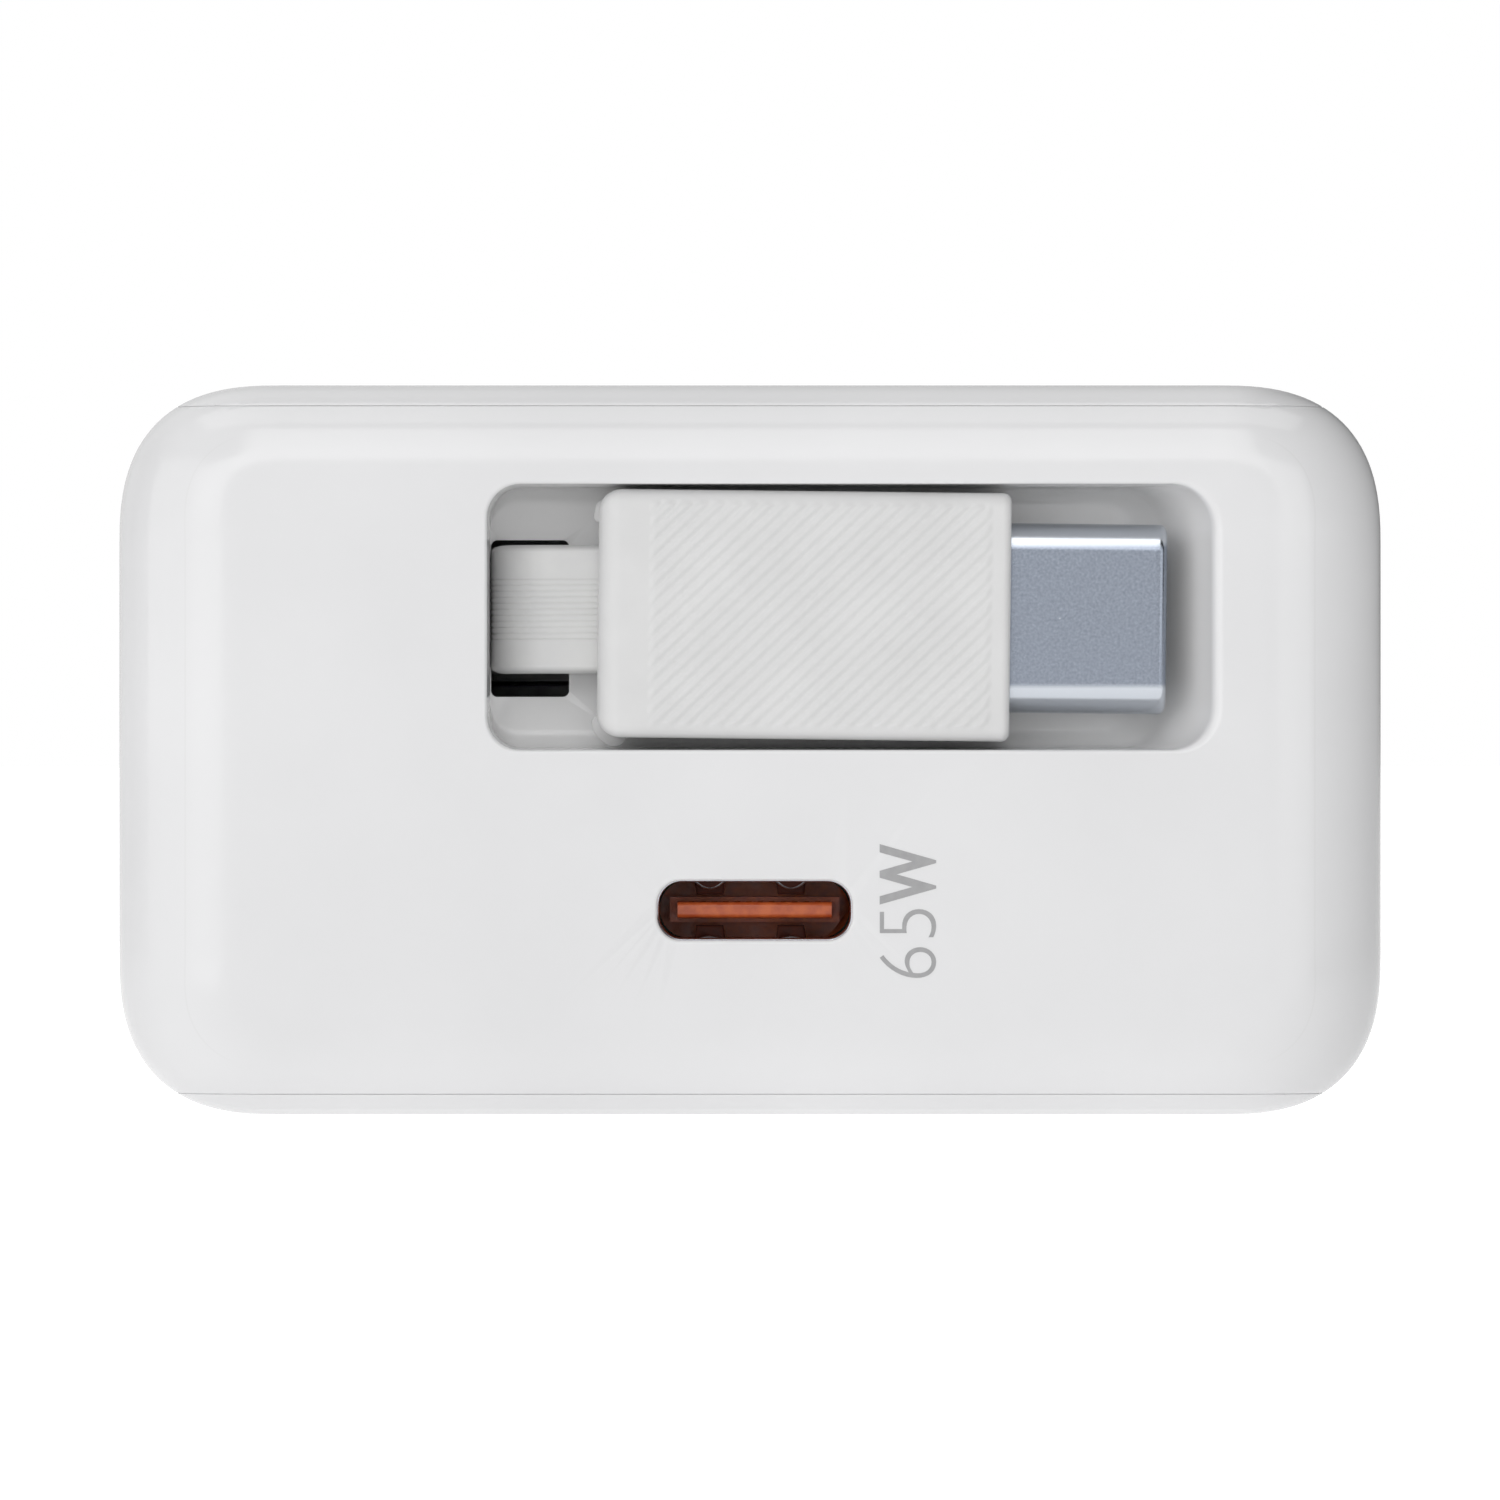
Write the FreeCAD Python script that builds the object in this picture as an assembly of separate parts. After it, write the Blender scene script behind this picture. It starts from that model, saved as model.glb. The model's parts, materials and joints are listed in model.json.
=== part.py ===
import FreeCAD, Part
import math
import os

# A 65 W wall charger with a flat USB-C cable that winds up inside it. Millimetres.
# +X runs along the long side, +Y into the charger from its front face, +Z up, with the
# charger lying on its bottom cover. The origin is the centre of the underside.

Vector = FreeCAD.Vector

# Casing
body_width = 55.0  # X
body_depth = 60.0  # Y
body_height = 31.8  # Z
corner_reach = 7.0  # how far each soft corner of the front outline runs along a side
corner_power = 2.6  # exponent of the soft corner, 2 being a round one
front_round = 4.2
back_round = 3.0
wall = 1.8
cover_rim = 0.95  # height of a side cover's visible rim
seam_gap = 0.1
cover_plate = 2.0
cover_lip = 1.2
cover_lip_height = 2.7
cover_root = 0.2  # overlap of a cover's rim and plate
window_x = 22.6  # half sizes of the window in each side of the shell
window_y = 25.4
window_corner = 5.0
ledge_y = 16.0  # places of the ledges that carry the reel's base
ledge_half = 2.0
ledge_reach = 1.5
ledge_root = 0.3
ledge_thick = 1.0

# Fits
past = 1.0  # how far a cutting tool runs past what it cuts
clearance = 0.1
slip_fit = 0.05
press_gap = 0.02
hair = 0.001  # keeps a full round just short of its neighbour

# Screws
pilot_radius = 0.7
head_radius = 1.5
head_height = 0.55
cross_half = 0.9
cross_width = 0.36
cross_floor = 0.25
screw_hole = 0.95

# Recess in the front face and the slot in its floor
recess_left = -11.4
recess_right = 20.4
recess_bottom = 15.9
recess_top = 27.6
recess_depth = 5.6
recess_corner = 1.6
scoop_start = 16.6  # where the floor starts to rise towards the finger scoop
scoop_end = 0.3  # how far past the recess's edge the scoop would meet the front
scoop_run_share = 0.72  # the scoop's middle point, as shares of its run and rise
scoop_rise_share = 0.36
pocket_wall = 1.2
slot_corner = 0.4
slot_left = -11.35
slot_right = -7.9
slot_bottom = 18.22
slot_top = 25.06

# Flat cable and its plug
ribbon_width = 5.6
ribbon_thick = 1.25
ribbon_x = -10.6  # centre of the ribbon's leg in the slot
ribbon_bend = 2.2  # radius at the ribbon's middle
leg_start = 0.6  # how far behind the recess wall the ribbon's leg begins
run_start_gap = 0.25
run_end_gap = 0.2
guide_depth = 2.2
guide_wall = 1.0
guide_left_wall = 1.6
guide_right_wall = 1.4
guide_flare = 0.9
guide_flare_start = 0.8
mould_length = 17.9
mould_height = 10.8
mould_thick = 5.0
mould_left = -6.6
mould_round = 1.1
mould_left_round = 0.8
mould_right_round = 0.35
mould_sink = 0.25  # how far the plug lies below the front face
core_start = 3.0  # of the hard moulding inside, from the overmould's left end
core_end = 0.8
core_half_y = 1.8
core_half_z = 4.6
core_wall = 1.0
plug_board_half_y = 0.4
plug_board_half_z = 3.7
plug_shell_height = 8.25
plug_shell_thick = 2.4
plug_shell_wall = 0.25
plug_reach = 6.8  # bare length of the metal shell
shell_root = 4.6  # length of the shell inside the overmould
shell_lip_round = 0.12
insulator_inset = 0.5
mouth_floor = 0.2
mouth_half_y = 0.42
mouth_half_z = 3.4
contact_count = 12
contact_pitch = 0.5
contact_thick = 0.06
contact_width = 0.25
contact_start = 0.9
contact_end = 1.4
plug_lean = 0.9  # degrees that the parked plug leans in its free play

# Reel
reel_x = 4.0
reel_y = -1.4
flange_radius = 20.7
flange_thick = 0.8
hub_radius = 10.2
hub_wall = 1.0
coil_outer = 19.9
coil_pitch = 1.3
flange_gap = 0.25  # play of the ribbon between the flanges
flange_hole_count = 6
flange_hole_circle = 17.9
flange_hole_radius = 1.5
axle_radius = 2.5
axle_stub = 0.9
axle_foot_radius = 1.6
axle_slot = 0.4
spring_turns = 12
spring_thick = 0.12
spring_gap = 0.4  # play of the spring in height
spring_start_gap = 0.25
spring_end_gap = 0.15
reel_base_thick = 1.2
base_drop = 2.7  # from the lower flange to the base's underside
base_x = 25.2
base_front = -22.9
base_back = 21.4
base_corner = 2.0
notch_left = 13.2  # notch in the base for the mains strips
notch_right = 17.4
notch_front = 20.0
bridge_rise = 2.7
bridge_thick = 0.9
bridge_x = 21.0
bridge_front = -21.0
bridge_back = 18.2
bridge_corner = 2.5
bridge_hole = 6.0
bridge_post_radius = 1.9
bridge_post_hole = 6.0
bridge_screw_length = 5.0
groove_radius = 13.2
groove_width = 2.4
groove_wall = 0.8
groove_height = 1.2
lever_length = 8.0
lever_rise = 1.4
lever_thick = 1.0
lever_half = 1.0
lever_boss = 1.9
lever_pin = 0.5
lever_pin_gap = 0.3
pivot_radius = 0.9
latch_x = 16.0
latch_y = -15.4

# Slip rings and brushes
slip_count = 4
slip_first = 5.0
slip_pitch = 1.6
slip_width = 0.9
slip_thick = 0.1
ring_board_outer = 11.0
ring_board_inner = 3.6
ring_board_thick = 0.6
brush_block_start = 4.0
brush_block_end = 10.8
brush_block_half = 2.2
brush_block_thick = 0.35
brush_width = 0.6
brush_thick = 0.15
brush_foot_start = 2.0
brush_foot_end = 1.0
brush_reach = 1.6

# Mains prongs, folding about a Z axis
prong_pitch = 12.7
prong_width = 6.3
prong_thick = 1.5
prong_length = 19.5  # from the pivot to the tip
prong_x = 9.0
prong_y = 26.4
carrier_radius = 3.1
carrier_core = 1.0
barrel_end = 1.4
barrel_play = 0.3
pin_radius = 1.2
pin_length = 1.4
pin_seat = 0.8
bearing_side = 1.5
bearing_wall = 1.2
blade_corner = 1.2
blade_hole_place = 4.0  # from the tip
blade_hole_radius = 1.6
blade_play = 0.4
blade_side_play = 0.35
prong_pocket_wall = 1.0
grip_left = -14.5
grip_right = -6.5
grip_depth = 2.2
grip_corner = 2.0
strip_gap = 1.9  # from the carrier to the contact strip
strip_thick = 0.4
strip_half = 1.2
strip_front = 21.2
strip_back = 24.6
strip_leg_front = 20.4
strip_leg_back = 21.6
strip_offset = 1.2

# Back plate
back_x = 20.8
back_z = 10.4
back_corner = 3.0
plate_lap = 1.2
plate_sink = 0.05

# USB-C socket
socket_x = 0.2
socket_drop = 6.95  # below the charger's middle height
socket_width = 8.34
socket_height = 2.56
socket_depth = 7.3
socket_wall = 0.3
socket_rim = 0.08  # play of the front wall's window round the bore
socket_sink = 0.6
socket_block = 2.0
tongue_half_x = 3.35
tongue_half_z = 0.35
tongue_start = 0.9
tongue_end = 1.8
tongue_round = 0.2
tongue_root_x = 3.7
tongue_root_z = 0.55
tongue_root_start = 3.6
pad_half = 0.12
pad_start = 1.3
pad_end = 3.5
socket_board_left = 8.0
socket_board_right = 8.5
socket_board_thick = 0.9
socket_board_gap = 1.5

# Electronics
board_bottom = 2.7
board_thick = 1.2
board_x = 23.0
board_front = -20.6
board_back = 20.9
board_corner = 1.5
board_post_radius = 1.5
board_post_floor = 1.0
board_hole = 0.8
board_screw_length = 2.5
core_x = -12.0
core_y = -8.3
core_half_length = 9.5
core_half_width = 6.5
core_low = 4.4
core_half_height = 4.6
core_gap = 0.05
core_back = 1.8
core_side = 2.2
core_leg = 3.6
winding_outer = 6.6
winding_inner = 4.5
winding_low = 6.7
winding_high = 11.3
bobbin_outer = 4.45
bobbin_inner = 3.7
bobbin_flange = 7.0
bobbin_flange_inner = 4.0
bobbin_flange_thick = 0.4
bobbin_end = 0.3
can_first = -18.2
can_pitch = 9.8
can_count = 3
can_z = 9.0
can_radius = 4.7
can_front = 0.4
can_back = 19.6
can_round = 0.5
can_groove = 16.9
can_groove_width = 0.6
can_groove_depth = 0.4
choke_x = 16.4
choke_y = 2.6
choke_z = 7.7
choke_ring = 3.4  # radius of the middle of its core
choke_half = 1.0
choke_half_height = 1.7
wire_radius = 0.32
wire_loop = 2.33
wire_step = 20  # degrees from turn to turn
wire_first = 5
wire_turns = 6
wire_second = 9  # the step at which the second winding starts
box_cap_left = 9.2
box_cap_right = 14.6
box_cap_front = 9.6
box_cap_back = 20.0
box_cap_top = 13.2
box_cap_corner = 0.6
fuse_x = 20.4
fuse_z = 6.4
fuse_radius = 1.7
fuse_cap_radius = 1.9
fuse_front = 10.8
fuse_back = 18.6
fuse_cap = 1.6
rectifier_left = 6.5
rectifier_right = 9.9
rectifier_front = 0.6
rectifier_back = 8.4
rectifier_top = 12.6
rectifier_corner = 0.4
output_cap_radius = 3.1
output_cap_top = 12.4
output_cap_round = 0.4
spreader_left = -23.6
spreader_right = 12.8
spreader_front = -19.0
spreader_back = 19.8
spreader_low = 13.8
spreader_thick = 0.4
spreader_corner = 1.0
spreader_skirt = 15.0
spreader_skirt_shift = 0.3
spreader_skirt_gap = 1.0
film_left = -24.0
film_front = -19.6
film_back = 20.0
film_thick = 0.2
pin_count = 6
pin_pitch = 1.27
pin_first = 3.2
pin_half = 0.2
pin_rise = 3.0

# Worked out from the above
half_width = body_width / 2
half_depth = body_depth / 2
front = -half_depth
back = half_depth
middle = body_height / 2
inner_front = front + wall
inner_back = back - wall
seam_low = cover_rim
seam_high = body_height - cover_rim
recess_floor = front + recess_depth
plug_z = (recess_bottom + recess_top) / 2
plug_y = front + mould_sink + mould_thick / 2
mould_right = mould_left + mould_length
lean_x = (mould_left + mould_right) / 2
socket_z = middle - socket_drop
socket_mouth = inner_front - socket_sink
ribbon_low = plug_z - ribbon_width / 2
ribbon_high = plug_z + ribbon_width / 2
spool_low = ribbon_low - flange_gap
spool_high = ribbon_high + flange_gap
flange_low = spool_low - flange_thick
flange_high = spool_high + flange_thick
base_low = flange_low - base_drop
base_high = base_low + reel_base_thick
board_top = board_bottom + board_thick
inner_side = half_width - wall
bridge_low = flange_high + bridge_rise
slip_low = flange_low - ring_board_thick - slip_thick
slip_radii = [slip_first + slip_pitch * i for i in range(slip_count)]


def box(x0, x1, y0, y1, z0, z1):
    return Part.makeBox(x1 - x0, y1 - y0, z1 - z0, Vector(x0, y0, z0))


def post(x, y, radius, z0, z1):
    return Part.makeCylinder(radius, z1 - z0, Vector(x, y, z0))


def ring(x, y, outer, inner, z0, z1):
    return post(x, y, outer, z0, z1).cut(post(x, y, inner, z0 - 1, z1 + 1))


def rod_y(x, z, radius, y0, y1):
    return Part.makeCylinder(radius, y1 - y0, Vector(x, y0, z), Vector(0, 1, 0))


def slab(z0, z1):
    """A level layer wider and deeper than the charger."""
    return box(-body_width, body_width, -body_depth, body_depth, z0, z1)


def edges_along(shape, direction):
    """The straight edges of a shape that run along one axis."""
    found = []
    for edge in shape.Edges:
        if isinstance(edge.Curve, Part.Line):
            if abs(abs(edge.tangentAt(edge.FirstParameter).dot(direction)) - 1) < 1e-6:
                found.append(edge)
    return found


def rounded(x0, x1, y0, y1, z0, z1, direction, radius):
    """A box whose four edges along one axis are rounded."""
    block = box(x0, x1, y0, y1, z0, z1)
    return block.makeFillet(radius, edges_along(block, direction))


def rounded_y(x0, x1, y0, y1, z0, z1, radius):
    return rounded(x0, x1, y0, y1, z0, z1, Vector(0, 1, 0), radius)


def rounded_z(x0, x1, y0, y1, z0, z1, radius):
    return rounded(x0, x1, y0, y1, z0, z1, Vector(0, 0, 1), radius)


def rounded_x(x0, x1, y0, y1, z0, z1, radius):
    return rounded(x0, x1, y0, y1, z0, z1, Vector(1, 0, 0), radius)


def soft_outline(half_w, half_h, reach, y):
    """The front outline at one depth: straight sides and superelliptic corners."""
    steps = 8
    edges = []
    corners = []
    for sx, sz in ((1, 1), (-1, 1), (-1, -1), (1, -1)):
        points = []
        for i in range(steps + 1):
            angle = math.pi / 2 * i / steps
            u = math.cos(angle) ** (2 / corner_power)
            v = math.sin(angle) ** (2 / corner_power)
            x = sx * (half_w - reach + reach * u)
            z = sz * (half_h - reach + reach * v)
            points.append(Vector(x, y, middle + z))
        first_way = Vector(0, 0, sz)
        last_way = Vector(-sx, 0, 0)
        if sx * sz < 0:
            points.reverse()
            first_way = Vector(sx, 0, 0)
            last_way = Vector(0, 0, -sz)
        curve = Part.BSplineCurve()
        curve.interpolate(Points=points, InitialTangent=first_way, FinalTangent=last_way)
        corners.append((curve.toShape(), points[0], points[-1]))
    for i, (corner, _, end) in enumerate(corners):
        edges.append(corner)
        edges.append(Part.makeLine(end, corners[(i + 1) % 4][1]))
    return Part.Wire(edges)


def outer_block():
    """The casing's outer form, its front and back edges rounded."""
    outline = Part.Face(soft_outline(half_width, middle, corner_reach, front))
    block = outline.extrude(Vector(0, body_depth, 0))
    for depth, radius in ((front, front_round), (back, back_round)):
        rim = [
            edge
            for edge in block.Edges
            if all(abs(v.Point.y - depth) < 1e-6 for v in edge.Vertexes)
        ]
        block = block.makeFillet(radius, rim)
    return block


def inner_block():
    """The space inside the main shell."""
    outline = soft_outline(half_width - wall, middle - wall, corner_reach - wall, inner_front)
    return Part.Face(outline).extrude(Vector(0, inner_back - inner_front, 0))


def side_opening(z0, z1, play):
    """The window in each side of the main shell that a cover plugs."""
    x = window_x - play
    y = window_y - play
    return rounded_z(-x, x, -y, y, z0, z1, window_corner - play)


def recess_tool():
    """The plug's recess: a rounded pocket whose floor rises in a scoop at its right end."""
    pocket = rounded_y(
        recess_left, recess_right, front - past, recess_floor,
        recess_bottom, recess_top, recess_corner,
    )
    start = Vector(scoop_start, recess_floor, 0)
    end = Vector(recess_right + scoop_end, front, 0)
    run = end.x - start.x
    rise = start.y - end.y
    scoop_mid = Vector(start.x + run * scoop_run_share, start.y - rise * scoop_rise_share, 0)
    floor_corner = Vector(recess_left - past, recess_floor, 0)
    left_corner = Vector(recess_left - past, front - 2 * past, 0)
    right_corner = Vector(end.x, front - 2 * past, 0)
    side = Part.Wire(
        [
            Part.makeLine(left_corner, floor_corner),
            Part.makeLine(floor_corner, start),
            Part.Arc(start, scoop_mid, end).toShape(),
            Part.makeLine(end, right_corner),
            Part.makeLine(right_corner, left_corner),
        ]
    )
    profile = Part.Face(side).extrude(Vector(0, 0, body_height))
    return pocket.common(profile)


def socket_window(extra, y0, y1):
    """The obround hole that shows the USB-C socket."""
    half_x = socket_width / 2 + extra
    half_z = socket_height / 2 + extra
    return rounded_y(
        socket_x - half_x, socket_x + half_x, y0, y1, socket_z - half_z, socket_z + half_z, half_z - hair
    )


def prong_levels():
    return (middle - prong_pitch / 2, middle + prong_pitch / 2)


# Casing

def main_shell(outer, inner):
    shell = outer.common(slab(seam_low + seam_gap / 2, seam_high - seam_gap / 2))
    shell = shell.cut(inner)
    shell = shell.cut(side_opening(-past, body_height + past, 0))
    pocket = box(
        recess_left - pocket_wall, recess_right + pocket_wall,
        inner_front - pocket_wall / 2, recess_floor + pocket_wall,
        recess_bottom - pocket_wall, recess_top + pocket_wall,
    )
    shell = shell.fuse(pocket)
    shell = shell.cut(recess_tool())
    slot = rounded_y(
        slot_left, slot_right, recess_floor - past, recess_floor + pocket_wall + past,
        slot_bottom, slot_top, slot_corner,
    )
    shell = shell.cut(slot)
    shell = shell.cut(socket_window(socket_rim, front - past, inner_front + past))
    counterbore = socket_window(socket_wall + slip_fit, socket_mouth - slip_fit, inner_front + past)
    shell = shell.cut(counterbore)
    back_window = rounded_y(
        -back_x, back_x, inner_back - past, back + past, middle - back_z, middle + back_z, back_corner
    )
    shell = shell.cut(back_window)
    for side in (-1, 1):
        near = side * (inner_side - ledge_reach)
        far = side * (inner_side + ledge_root)
        for y in (-ledge_y, ledge_y):
            ledge = box(
                min(near, far), max(near, far), y - ledge_half, y + ledge_half,
                base_low - ledge_thick, base_low,
            )
            shell = shell.fuse(ledge)
    return shell.removeSplitter()


def side_cover(outer, top):
    """A crowned side cover: its rim meets the shell at a fine seam, its plate plugs the window."""
    if top:
        crown = outer.common(slab(seam_high + seam_gap / 2, body_height + past))
        plate = side_opening(body_height - cover_plate, seam_high + cover_root, clearance)
        lip = side_opening(body_height - cover_lip_height, body_height - cover_plate, clearance)
    else:
        crown = outer.common(slab(-past, seam_low - seam_gap / 2))
        plate = side_opening(seam_low - cover_root, cover_plate, clearance)
        lip = side_opening(cover_plate, cover_lip_height, clearance)
    inside = side_opening(-past, body_height + past, clearance + cover_lip)
    cover = crown.fuse(plate).fuse(lip.cut(inside))
    if not top:
        for x, y in board_posts():
            cover = cover.fuse(post(x, y, board_post_radius, cover_plate - cover_root, board_bottom))
            cover = cover.cut(post(x, y, pilot_radius, board_post_floor, board_bottom + past))
    return cover.removeSplitter()


def board_posts():
    return ((-21.0, -18.6), (21.0, -19.0), (-21.2, 19.0), (21.0, 8.6))


def back_plate():
    """The back of the charger with its two prong pockets and the carrier's bearings."""
    outside = inner_back + clearance
    x = back_x - clearance
    z = back_z - clearance
    corner = back_corner - clearance
    plate = rounded_y(
        -x, x, inner_back - clearance, back - plate_sink, middle - z, middle + z, corner
    )
    joint = rounded_y(
        -x, x, inner_back - 2 * clearance, outside, middle - z, middle + z, corner
    )
    flange = rounded_y(
        -back_x - plate_lap, back_x + plate_lap,
        inner_back - clearance - plate_lap, inner_back - clearance,
        middle - back_z - plate_lap, middle + back_z + plate_lap, back_corner,
    )
    plate = plate.fuse(flange).fuse(joint)
    pocket_back = prong_y - prong_width / 2 - blade_play
    pocket_half = prong_thick / 2 + blade_side_play
    outer_half = pocket_half + prong_pocket_wall
    left = prong_x - prong_length - 2 * blade_play
    right = prong_x + carrier_radius + blade_play
    left_out = left - prong_pocket_wall
    right_out = right + prong_pocket_wall
    back_out = pocket_back - prong_pocket_wall
    for level in prong_levels():
        pocket = box(left_out, right_out, back_out, inner_back, level - outer_half, level + outer_half)
        plate = plate.fuse(pocket)
    housing_low = prong_levels()[0] - outer_half
    housing_high = prong_levels()[1] + outer_half
    bearing = box(
        prong_x - carrier_radius - bearing_side, right_out, back_out, inner_back,
        housing_low - bearing_wall, housing_high + bearing_wall,
    )
    plate = plate.fuse(bearing)
    for level in prong_levels():
        plate = plate.cut(
            box(left, right, pocket_back, back + past, level - pocket_half, level + pocket_half)
        )
    barrel_window = box(
        prong_x - carrier_radius - barrel_play, right, pocket_back, back + past,
        housing_low + 2 * barrel_play, housing_high - 2 * barrel_play,
    )
    plate = plate.cut(barrel_window)
    pivot = post(prong_x, prong_y, pin_radius + slip_fit, housing_low - pin_seat, housing_high + pin_seat)
    plate = plate.cut(pivot)
    grip_half = prong_pitch / 2
    grip = rounded_y(
        grip_left, grip_right, back - grip_depth, back + past,
        middle - grip_half, middle + grip_half, grip_corner,
    )
    return plate.cut(grip).removeSplitter()


def prong_carrier():
    """The moulded barrel that joins both blades, with a pivot pin at each end."""
    low = prong_levels()[0] - barrel_end
    high = prong_levels()[1] + barrel_end
    barrel = post(prong_x, prong_y, carrier_radius, low, high)
    barrel = barrel.fuse(post(prong_x, prong_y, pin_radius, low - pin_length, high + pin_length))
    core = post(prong_x, prong_y, carrier_core, 0, body_height)
    for level in prong_levels():
        seat = slab(level - prong_thick / 2, level + prong_thick / 2)
        barrel = barrel.cut(seat.cut(core))
    return barrel


def prong_blades():
    """Two flat brass blades with a rounded tip and a hole, folded flat in the back plate."""
    blades = []
    tip = prong_x - prong_length
    half = prong_width / 2
    for level in prong_levels():
        low = level - prong_thick / 2
        high = level + prong_thick / 2
        blade = rounded_z(tip, prong_x, prong_y - half, prong_y + half, low, high, blade_corner)
        root = box(prong_x - half, prong_x, prong_y - half, prong_y + half, low, high)
        blade = blade.fuse(root).fuse(post(prong_x, prong_y, half, low, high))
        blade = blade.cut(post(prong_x, prong_y, carrier_core, low - past, high + past))
        hole = post(tip + blade_hole_place, prong_y, blade_hole_radius, low - past, high + past)
        blades.append(blade.cut(hole).removeSplitter())
    return Part.makeCompound(blades)


def prong_contacts():
    """Two sprung strips that carry the mains from the prongs' heads to the main board."""
    strips = []
    x = prong_x + carrier_radius + strip_gap
    for level in prong_levels():
        shift = 0 if level < middle else strip_offset
        top = level + strip_half
        strip = box(x, x + strip_thick, strip_front, strip_back, level - strip_half, top)
        leg = box(x, x + strip_thick, strip_leg_front, strip_leg_back, board_top, top)
        foot = box(
            x, x + strip_thick + shift, strip_leg_front, strip_leg_back,
            board_top, board_top + strip_thick,
        )
        strips.append(strip.fuse(leg).fuse(foot).translated(Vector(shift, 0, 0)))
    return Part.makeCompound(strips)


# Reel

def spiral_band(start, end, turns, thick, z0, z1, first_angle):
    """A flat strip wound on edge about the reel's axis: an Archimedean spiral with thickness."""
    per_turn = 14
    count = int(per_turn * turns)
    inside = []
    outside = []
    for i in range(count + 1):
        share = i / count
        angle = math.radians(first_angle) + 2 * math.pi * turns * share
        radius = start + (end - start) * share
        way = Vector(math.cos(angle), math.sin(angle), 0)
        centre = Vector(reel_x, reel_y, z0)
        inside.append(centre + way * (radius - thick / 2))
        outside.append(centre + way * (radius + thick / 2))
    curves = []
    for points in (inside, outside):
        curve = Part.BSplineCurve()
        curve.interpolate(points)
        curves.append(curve.toShape())
    ends = [Part.makeLine(inside[0], outside[0]), Part.makeLine(inside[-1], outside[-1])]
    face = Part.Face(Part.Wire(Part.__sortEdges__([curves[0], ends[0], curves[1], ends[1]])))
    return face.extrude(Vector(0, 0, z1 - z0))


def spool():
    lower = ring(reel_x, reel_y, flange_radius, axle_radius + slip_fit, flange_low, spool_low)
    hub = ring(reel_x, reel_y, hub_radius, hub_radius - hub_wall, spool_low, spool_high)
    upper = ring(reel_x, reel_y, flange_radius, hub_radius - hub_wall, spool_high, flange_high)
    body = lower.fuse(hub).fuse(upper)
    groove_top = flange_high + groove_height
    for radius in (groove_radius - groove_width / 2 - groove_wall, groove_radius + groove_width / 2):
        body = body.fuse(ring(reel_x, reel_y, radius + groove_wall, radius, flange_high, groove_top))
    for step in range(flange_hole_count):
        angle = 2 * math.pi * step / flange_hole_count
        x = reel_x + flange_hole_circle * math.cos(angle)
        y = reel_y + flange_hole_circle * math.sin(angle)
        body = body.cut(post(x, y, flange_hole_radius, spool_high - past, flange_high + past))
    return body.removeSplitter()


def spring_cap():
    """The disc that closes the spool's hub over the spring."""
    outer = hub_radius - hub_wall - press_gap
    return ring(reel_x, reel_y, outer, axle_radius + slip_fit, spool_high, flange_high)


def reel_axle():
    """The fixed axle, slotted for the spring's inner end."""
    top = flange_high + axle_stub
    axle = post(reel_x, reel_y, axle_radius, base_high, top)
    axle = axle.fuse(post(reel_x, reel_y, axle_foot_radius, base_low, base_high))
    slot = box(
        reel_x, reel_x + axle_radius, reel_y - axle_slot / 2, reel_y + axle_slot / 2,
        spool_low + spring_gap - clearance, top + past,
    )
    hole = post(reel_x, reel_y, pilot_radius, top - bridge_screw_length, top + past)
    return axle.cut(slot).cut(hole)


def power_spring():
    """The flat spring that winds the cable in, between the axle and the hub."""
    start = axle_radius + spring_start_gap
    end = hub_radius - hub_wall - spring_end_gap
    low = spool_low + spring_gap
    high = spool_high - spring_gap
    return spiral_band(start, end, spring_turns, spring_thick, low, high, 0)


def tangent_point():
    """Where the ribbon leaves the coil towards the guide, and the way it runs there."""
    radius = coil_outer - ribbon_thick / 2
    start = Vector(ribbon_x, recess_floor + pocket_wall + leg_start, 0)
    centre = Vector(reel_x, reel_y, 0)
    reach = (centre - start).Length
    towards = math.atan2(centre.y - start.y, centre.x - start.x)
    angle = towards + math.asin(radius / reach)
    length = math.sqrt(reach**2 - radius**2)
    way = Vector(math.cos(angle), math.sin(angle), 0)
    return start, start + way * length, way


def flat_strip(points_in, points_out, z0, z1):
    """A strip on edge between two matching polylines."""
    outline = Part.makePolygon(points_in + points_out[::-1] + [points_in[0]])
    face = Part.Face(outline)
    return face.translated(Vector(0, 0, z0)).extrude(Vector(0, 0, z1 - z0))


def ribbon_run():
    """The straight stretch of ribbon from the coil to the cable guide."""
    start, end, way = tangent_point()
    side = Vector(-way.y, way.x, 0) * (ribbon_thick / 2)
    near = start + way * run_start_gap
    far = end - way * run_end_gap
    return flat_strip([near + side, far + side], [near - side, far - side], ribbon_low, ribbon_high)


def ribbon_coil():
    """The wound cable, its outer end at the tangent point."""
    _, end, _ = tangent_point()
    last_angle = math.degrees(math.atan2(end.y - reel_y, end.x - reel_x))
    start = hub_radius + ribbon_thick / 2 + clearance
    stop = coil_outer - ribbon_thick / 2
    turns = (stop - start) / coil_pitch
    mean = (start + stop) / 2
    print("wound ribbon", round(2 * math.pi * mean * turns, 1), "mm, mean radius", round(mean, 2))
    first = last_angle - 360 * turns
    return spiral_band(start, stop, turns, ribbon_thick - slip_fit, ribbon_low, ribbon_high, first)


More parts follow.
